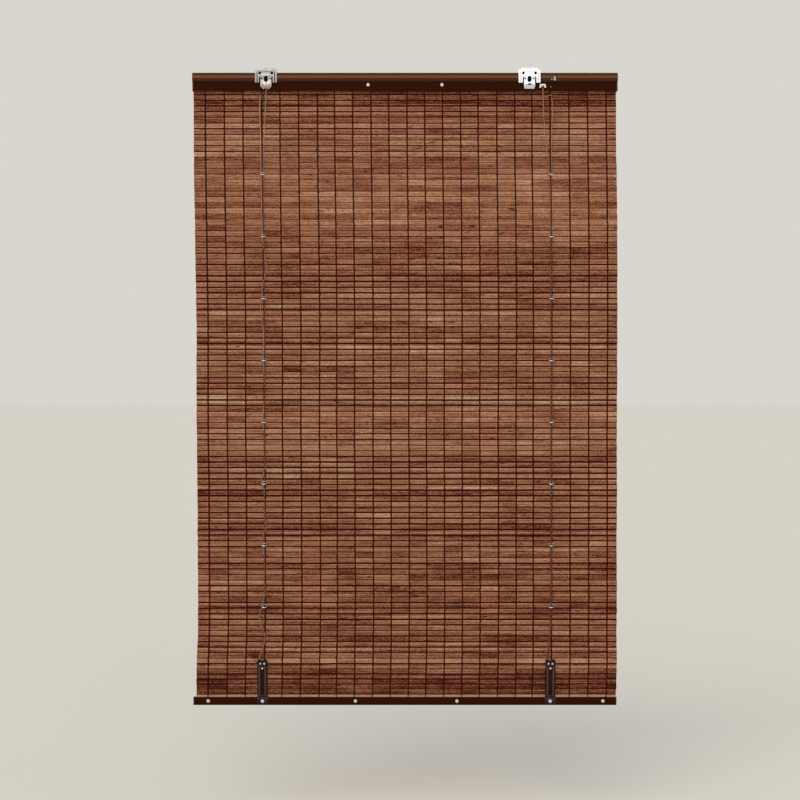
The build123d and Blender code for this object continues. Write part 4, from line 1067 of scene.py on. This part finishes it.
def bracketShape(side):
    # the right bracket's ears are slit more finely
    f = bracketFacts
    near, far = (17.9, 19.5) if side < 0 else (18.3, 18.9)
    right = [
        (0, -17.0), (1.6, -17.2), (3.2, -18.4), (4.0, -20.4), (4.0, -24.6), (11.9, -24.6), (11.9, -18.6),
        (14.5, -18.6), (14.5, -31.0), (15.4, -31.8), (near - 0.7, -31.8), (near, -31.1), (near, -9.4),
        (far, -9.4), (far, -31.1), (far + 0.7, -31.8), (22.5, -31.8), (23.5, -30.8), (23.5, -4.6),
        (22.3, -3.4), (17.8, -3.4), (17.8, -1.6), (16.4, -0.1), (10.6, -0.1), (9.2, -1.1), (7.8, -0.1),
        (2.4, -0.1), (1.7, -1.6), (0, -2.2),
    ]
    holes = [oval(x, -f["drop"], 2.6, 3.2) for x in (-f["screws"], f["screws"])]
    holes += [oval(x, f["rivetRow"], 1.75, 1.75, 14) for x in (-f["rivets"], f["rivets"])]
    # a pressed dimple between the screws, and a stiffening rib under each screw hole
    parts = [platePart(mirrored(right), holes, 0, f["sheet"], 0.3), dimple(1.9, 0.75, 0.05, -6.3)]
    for x in (-9.0, 9.0):
        parts.append(softBox((x - 2.2, x + 2.2), (0, 0.6), (-16.6, -15.4), 0.25, 2))
    # the top plate with its ceiling screw holes, its bend behind the rail, and the hook in the rail's slot
    ends = [(17.8, 0), (17.8, f["hook"] + 1.4), (-17.8, f["hook"] + 1.4), (-17.8, 0)]
    ceiling = [oval(x, f["ceiling"], 2.6, 2.6) for x in (-f["screws"], f["screws"])]
    parts.append(platePart(ends, ceiling, -1.4, -0.1, 0.25, flat=True))
    low = -railFacts["drop"] - 1.2 - 0.3 - 1.4
    parts.append(softBox((-17.8, 17.8), (f["hook"], f["hook"] + 1.4), (low, -0.4), 0.25, 2))
    parts.append(softBox((-12, 12), (f["hook"], f["rail"]), (low, low + 1.4), 0.25, 2))
    return joined(parts)


def clipShape(side):
    # the spring strip: flat behind the plate, then a foot that slants in to the rail
    f = bracketFacts
    near, far = f["sheet"], f["sheet"] + f["clip"]
    right = [(0, f["knee"] - 0.6), (11.9, f["knee"] - 0.6), (11.9, -15.2), (11.1, -14.4), (0, -14.4)]
    window = [(-4.1, -16.6), (4.1, -16.6), (4.1, -27.4), (2.6, -29.6), (-2.6, -29.6), (-4.1, -27.4)][::-1]
    if side < 0:
        slots = [[(x - 2.3, -36.0), (x + 2.3, -36.0), (x + 2.3, -34.4), (x - 2.3, -34.4)] for x in (-6.8, 6.8)]
        foot = [(0, -7.2), (2.2, -6.4), (3.8, -7.8), (5.5, -9.2), (7.2, -7.8), (8.4, -5.6), (11.2, -3.8)]
    else:
        slots = [[(-8.8, -36.9), (8.8, -36.9), (8.8, -35.2), (3.1, -35.2), (2.2, -33.2), (0, -32.2),
                  (-2.2, -33.2), (-3.1, -35.2), (-8.8, -35.2)]]
        foot = [(0, -7.6), (10.4, -7.6), (11.2, -6.4)]
    parts = [platePart(mirrored(right), [window] + slots, near, far, 0.22)]
    if side < 0:
        parts.append(dimple(2.1, 1.1, near + 0.05, -33.6))
    footHalf = foot + [(11.9, -1.6), (11.9, 0.6), (0, 0.6)]
    toe = platePart(mirrored(footHalf), [], -f["clip"] / 2, f["clip"] / 2, 0.22)
    slope = math.atan2(f["toeY"] - near - 0.5, f["knee"] - f["toe"])
    parts.append(moved(toe, Matrix.Translation((0, near + 0.5, f["knee"])) @ Matrix.Rotation(slope, 4, "X")))
    return joined(parts)


def hoodShape():
    # the outlet's hood, its arched mouth at the bottom, and the tube for the cord through the rail's web
    right = [(3.2, -41.8), (6.9, -41.8), (7.45, -41.2), (6.5, -34.6), (5.0, -33.4), (0, -33.4)]
    arch = [(0, -37.4), (1.6, -37.8), (2.8, -38.9), (3.2, -40.4)]
    hood = platePart(mirrored(arch + right), [], 4.6, 9.9, 0.7)
    tube = lathe([(1.3, 0), (2.0, 0), (2.0, 6.0), (1.3, 6.0), (1.3, 0)], 20)
    return joined([hood, moved(tube, Matrix.Translation((0, 16.0, -35.9)) @ turned(90, "X"))])


for side, word in bothSides:
    steel, strip = (greyerNickel, clipNickel) if side < 0 else (nickelPlate, nickelPlate)
    place = millimetres @ Matrix.Translation((bracketFacts["x"][0 if side < 0 else 1], 0, 0))
    rivet = lathe([(0, 0), (2.4, 0), (2.4, 0.3), (1.5, 0.6), (1.5, 2.3), (1.1, 2.5), (0, 2.5)], 20)
    rivets = [moved(rivet, Matrix.Translation((x, 3.0, bracketFacts["rivetRow"])) @ turned(90, "X"))
              for x in (-bracketFacts["rivets"], bracketFacts["rivets"])]
    # painted shadow: a thin black pad between bracket and rail, seen through the window and the holes
    shadowPad = softBox((-17.0, 17.0), (2.45, 3.1), (-30.4, -6.4), 0.15, 2)
    for name, part, material, standsFor in (
            ("bracketSteel_", bracketShape(side), steel, ("bracket_" + word,)),
            ("springClip_", clipShape(side), strip, ("bracket_clip_" + word,)),
            ("clipRivets_", joined(rivets), blackSteel, ("bracket_rivets_" + word,)),
            ("windowPad_", shadowPad, shadowPadBlack, ())):
        makePiece(name + word, *moved(part, place), material, "headrail_unit", "nickel_plate", 35, standsFor)
    place = millimetres @ Matrix.Translation((side * cordFacts["outlet"], 0, 0))
    makePiece("outletHood_" + word, *moved(hoodShape(), place), nylonWhite, "headrail_unit", "nylon_white", 35,
              ("cord_outlet_" + word,))

# scraps of a torn nylon tie beside the right bracket, stuck to the rail
scraps = []
for radius, points in ((1.0, ((320.8, 3.0, -17.4), (321.8, 2.2, -21.6), (322.8, 2.6, -26.6))),
                       (0.7, ((321.2, 2.2, -20.0), (319.1, 2.5, -26.0)))):
    scraps.append(tubeAlong([Vector(p) * mm for p in points], radius * mm, 8))
bead = [(0, -0.6)] + [(math.cos(a), 0.6 * math.sin(a)) for a in (-1.0, -0.4, 0.3, 0.9)] + [(0, 0.6)]
for x, y, z, r in ((314.8, 2.6, -24.2, 1.1), (313.4, 9.4, -39.4, 0.9)):
    place = millimetres @ Matrix.Translation((x, y, z)) @ turned(90, "X") @ Matrix.Scale(r, 4)
    scraps.append(moved(lathe(bead, 12), place))
makePiece("tornTie", *joined(scraps), nylonWhite, "headrail_unit", "nylon_white", 50)
print("brackets, clips and hoods")

# the CAD nodes that stay in view or inside, and those that the pieces above stand for
finishes = {
    "headrail": railPaint, "headrail_cap": capPlastic, "bottom_rail": railPaint, "bottom_cap": capPlastic,
    "bracket": nickelPlate, "cord_outlet": nylonWhite, "cord_drum": nylonWhite, "output_drum": nylonWhite,
    "idler_gear": nylonWhite, "storage_drum": nylonWhite, "motor_base": blackNylonAndRecessShade,
    "motor_cover": blackNylonAndRecessShade, "motor_spring": springSteel, "mat_spline": splinePvc, "reed_mat": reedMaterial,
    "ring_row": ringMetal,
    "cleat_body": cleatPlastic, "cleat_studs": zincSteel, "cleat_wraps": darkBraid, "cleat_cord": cordBraid,
    "cord_tail": darkBraid, "cord_run": cordBraid, "lift_cord": cordBraid, "guard_cord": cordBraid,
    "guard_knot": cordBraid, "bottom_screws": zincSteel, "motor_screws": zincSteel,
}
for name, node in nodes.items():
    best = max((key for key in finishes if name.startswith(key)), key=len)
    node.data.materials.clear()
    node.data.materials.append(finishes[best])

# the floor's height in m, its colour and the backdrop's as the camera sees them, and the colour it bounces
stageFacts = {"floor": -1.62, "floorSeen": "f2ede2", "floorLit": "cfccc4", "skyColour": "d8d6ce",
              "worldColour": "ffffff", "worldStrength": 0.38}

paleFloor = bpy.data.materials.new("paleFloor")
paleFloor.use_nodes = True
tree = paleFloor.node_tree
tree.nodes.clear()
path = addNode(tree, "ShaderNodeLightPath")
shade = addNode(tree, "ShaderNodeMix", {
    "data_type": "RGBA", 6: toLinear(stageFacts["floorLit"]), 7: toLinear(stageFacts["floorSeen"])},
    {0: path.outputs["Is Camera Ray"]})
matt = addNode(tree, "ShaderNodeBsdfDiffuse", links={"Color": shade.outputs[2]})
tree.links.new(matt.outputs[0], addNode(tree, "ShaderNodeOutputMaterial").inputs["Surface"])

bpy.ops.mesh.primitive_plane_add(size=120, location=(0, 0, stageFacts["floor"]))
floor = bpy.context.object
floor.name = "floor"
floor.data.materials.append(paleFloor)

world = bpy.data.worlds.new("paleRoom")
bpy.context.scene.world = world
world.use_nodes = True
tree = world.node_tree
tree.nodes.clear()
out = addNode(tree, "ShaderNodeOutputWorld")
path = addNode(tree, "ShaderNodeLightPath")
lit = addNode(tree, "ShaderNodeBackground", {"Color": toLinear(stageFacts["worldColour"]),
                                             "Strength": stageFacts["worldStrength"]})
shown = addNode(tree, "ShaderNodeBackground", {"Color": toLinear(stageFacts["skyColour"]), "Strength": 1.0})
mixed = addNode(tree, "ShaderNodeMixShader",
                links={0: path.outputs["Is Camera Ray"], 1: lit.outputs[0], 2: shown.outputs[0]})
tree.links.new(mixed.outputs[0], out.inputs["Surface"])


def farLamp(name, side, elevation, power, spread):
    # a large soft lamp far off: side and elevation in degrees, seen from the part, side 0 towards the camera
    lamp = bpy.data.lights.new(name, "SUN")
    lamp.energy = power
    lamp.angle = math.radians(spread)
    holder = bpy.data.objects.new(name, lamp)
    a, e = math.radians(side), math.radians(elevation)
    beam = Vector((-math.sin(a) * math.cos(e), math.cos(a) * math.cos(e), -math.sin(e)))
    holder.rotation_euler = beam.to_track_quat("-Z", "Y").to_euler()
    bpy.context.scene.collection.objects.link(holder)


farLamp("keyAbove", -16, 30, 1.02, 40)
farLamp("fillFront", 8, 1, 1.0, 50)
farLamp("backSoft", 165, 35, 1.0, 40)

# the aim is in mm, and mmPerPixel is the photograph's scale at the aim, in its 800 pixels
cameraFacts = {"distance": 5.0, "aim": (-10.7, 22.0, -712.5), "pitchDeg": 0.75, "mmPerPixel": 2.158}
camera = bpy.data.cameras.new("photoCamera")
eye = bpy.data.objects.new("photoCamera", camera)
bpy.context.scene.collection.objects.link(eye)
bpy.context.scene.camera = eye
pitch = math.radians(cameraFacts["pitchDeg"])
aim = Vector(cameraFacts["aim"]) * mm
eye.location = aim + Vector((0, -math.cos(pitch), math.sin(pitch))) * cameraFacts["distance"]
eye.rotation_euler = (aim - eye.location).to_track_quat("-Z", "Y").to_euler()
camera.sensor_width = 36
camera.lens = 36 * cameraFacts["distance"] / (800 * cameraFacts["mmPerPixel"] * mm)
camera.clip_start, camera.clip_end = 0.05, 200
bpy.context.scene.view_settings.view_transform = "Standard"
print("stage, light and camera")
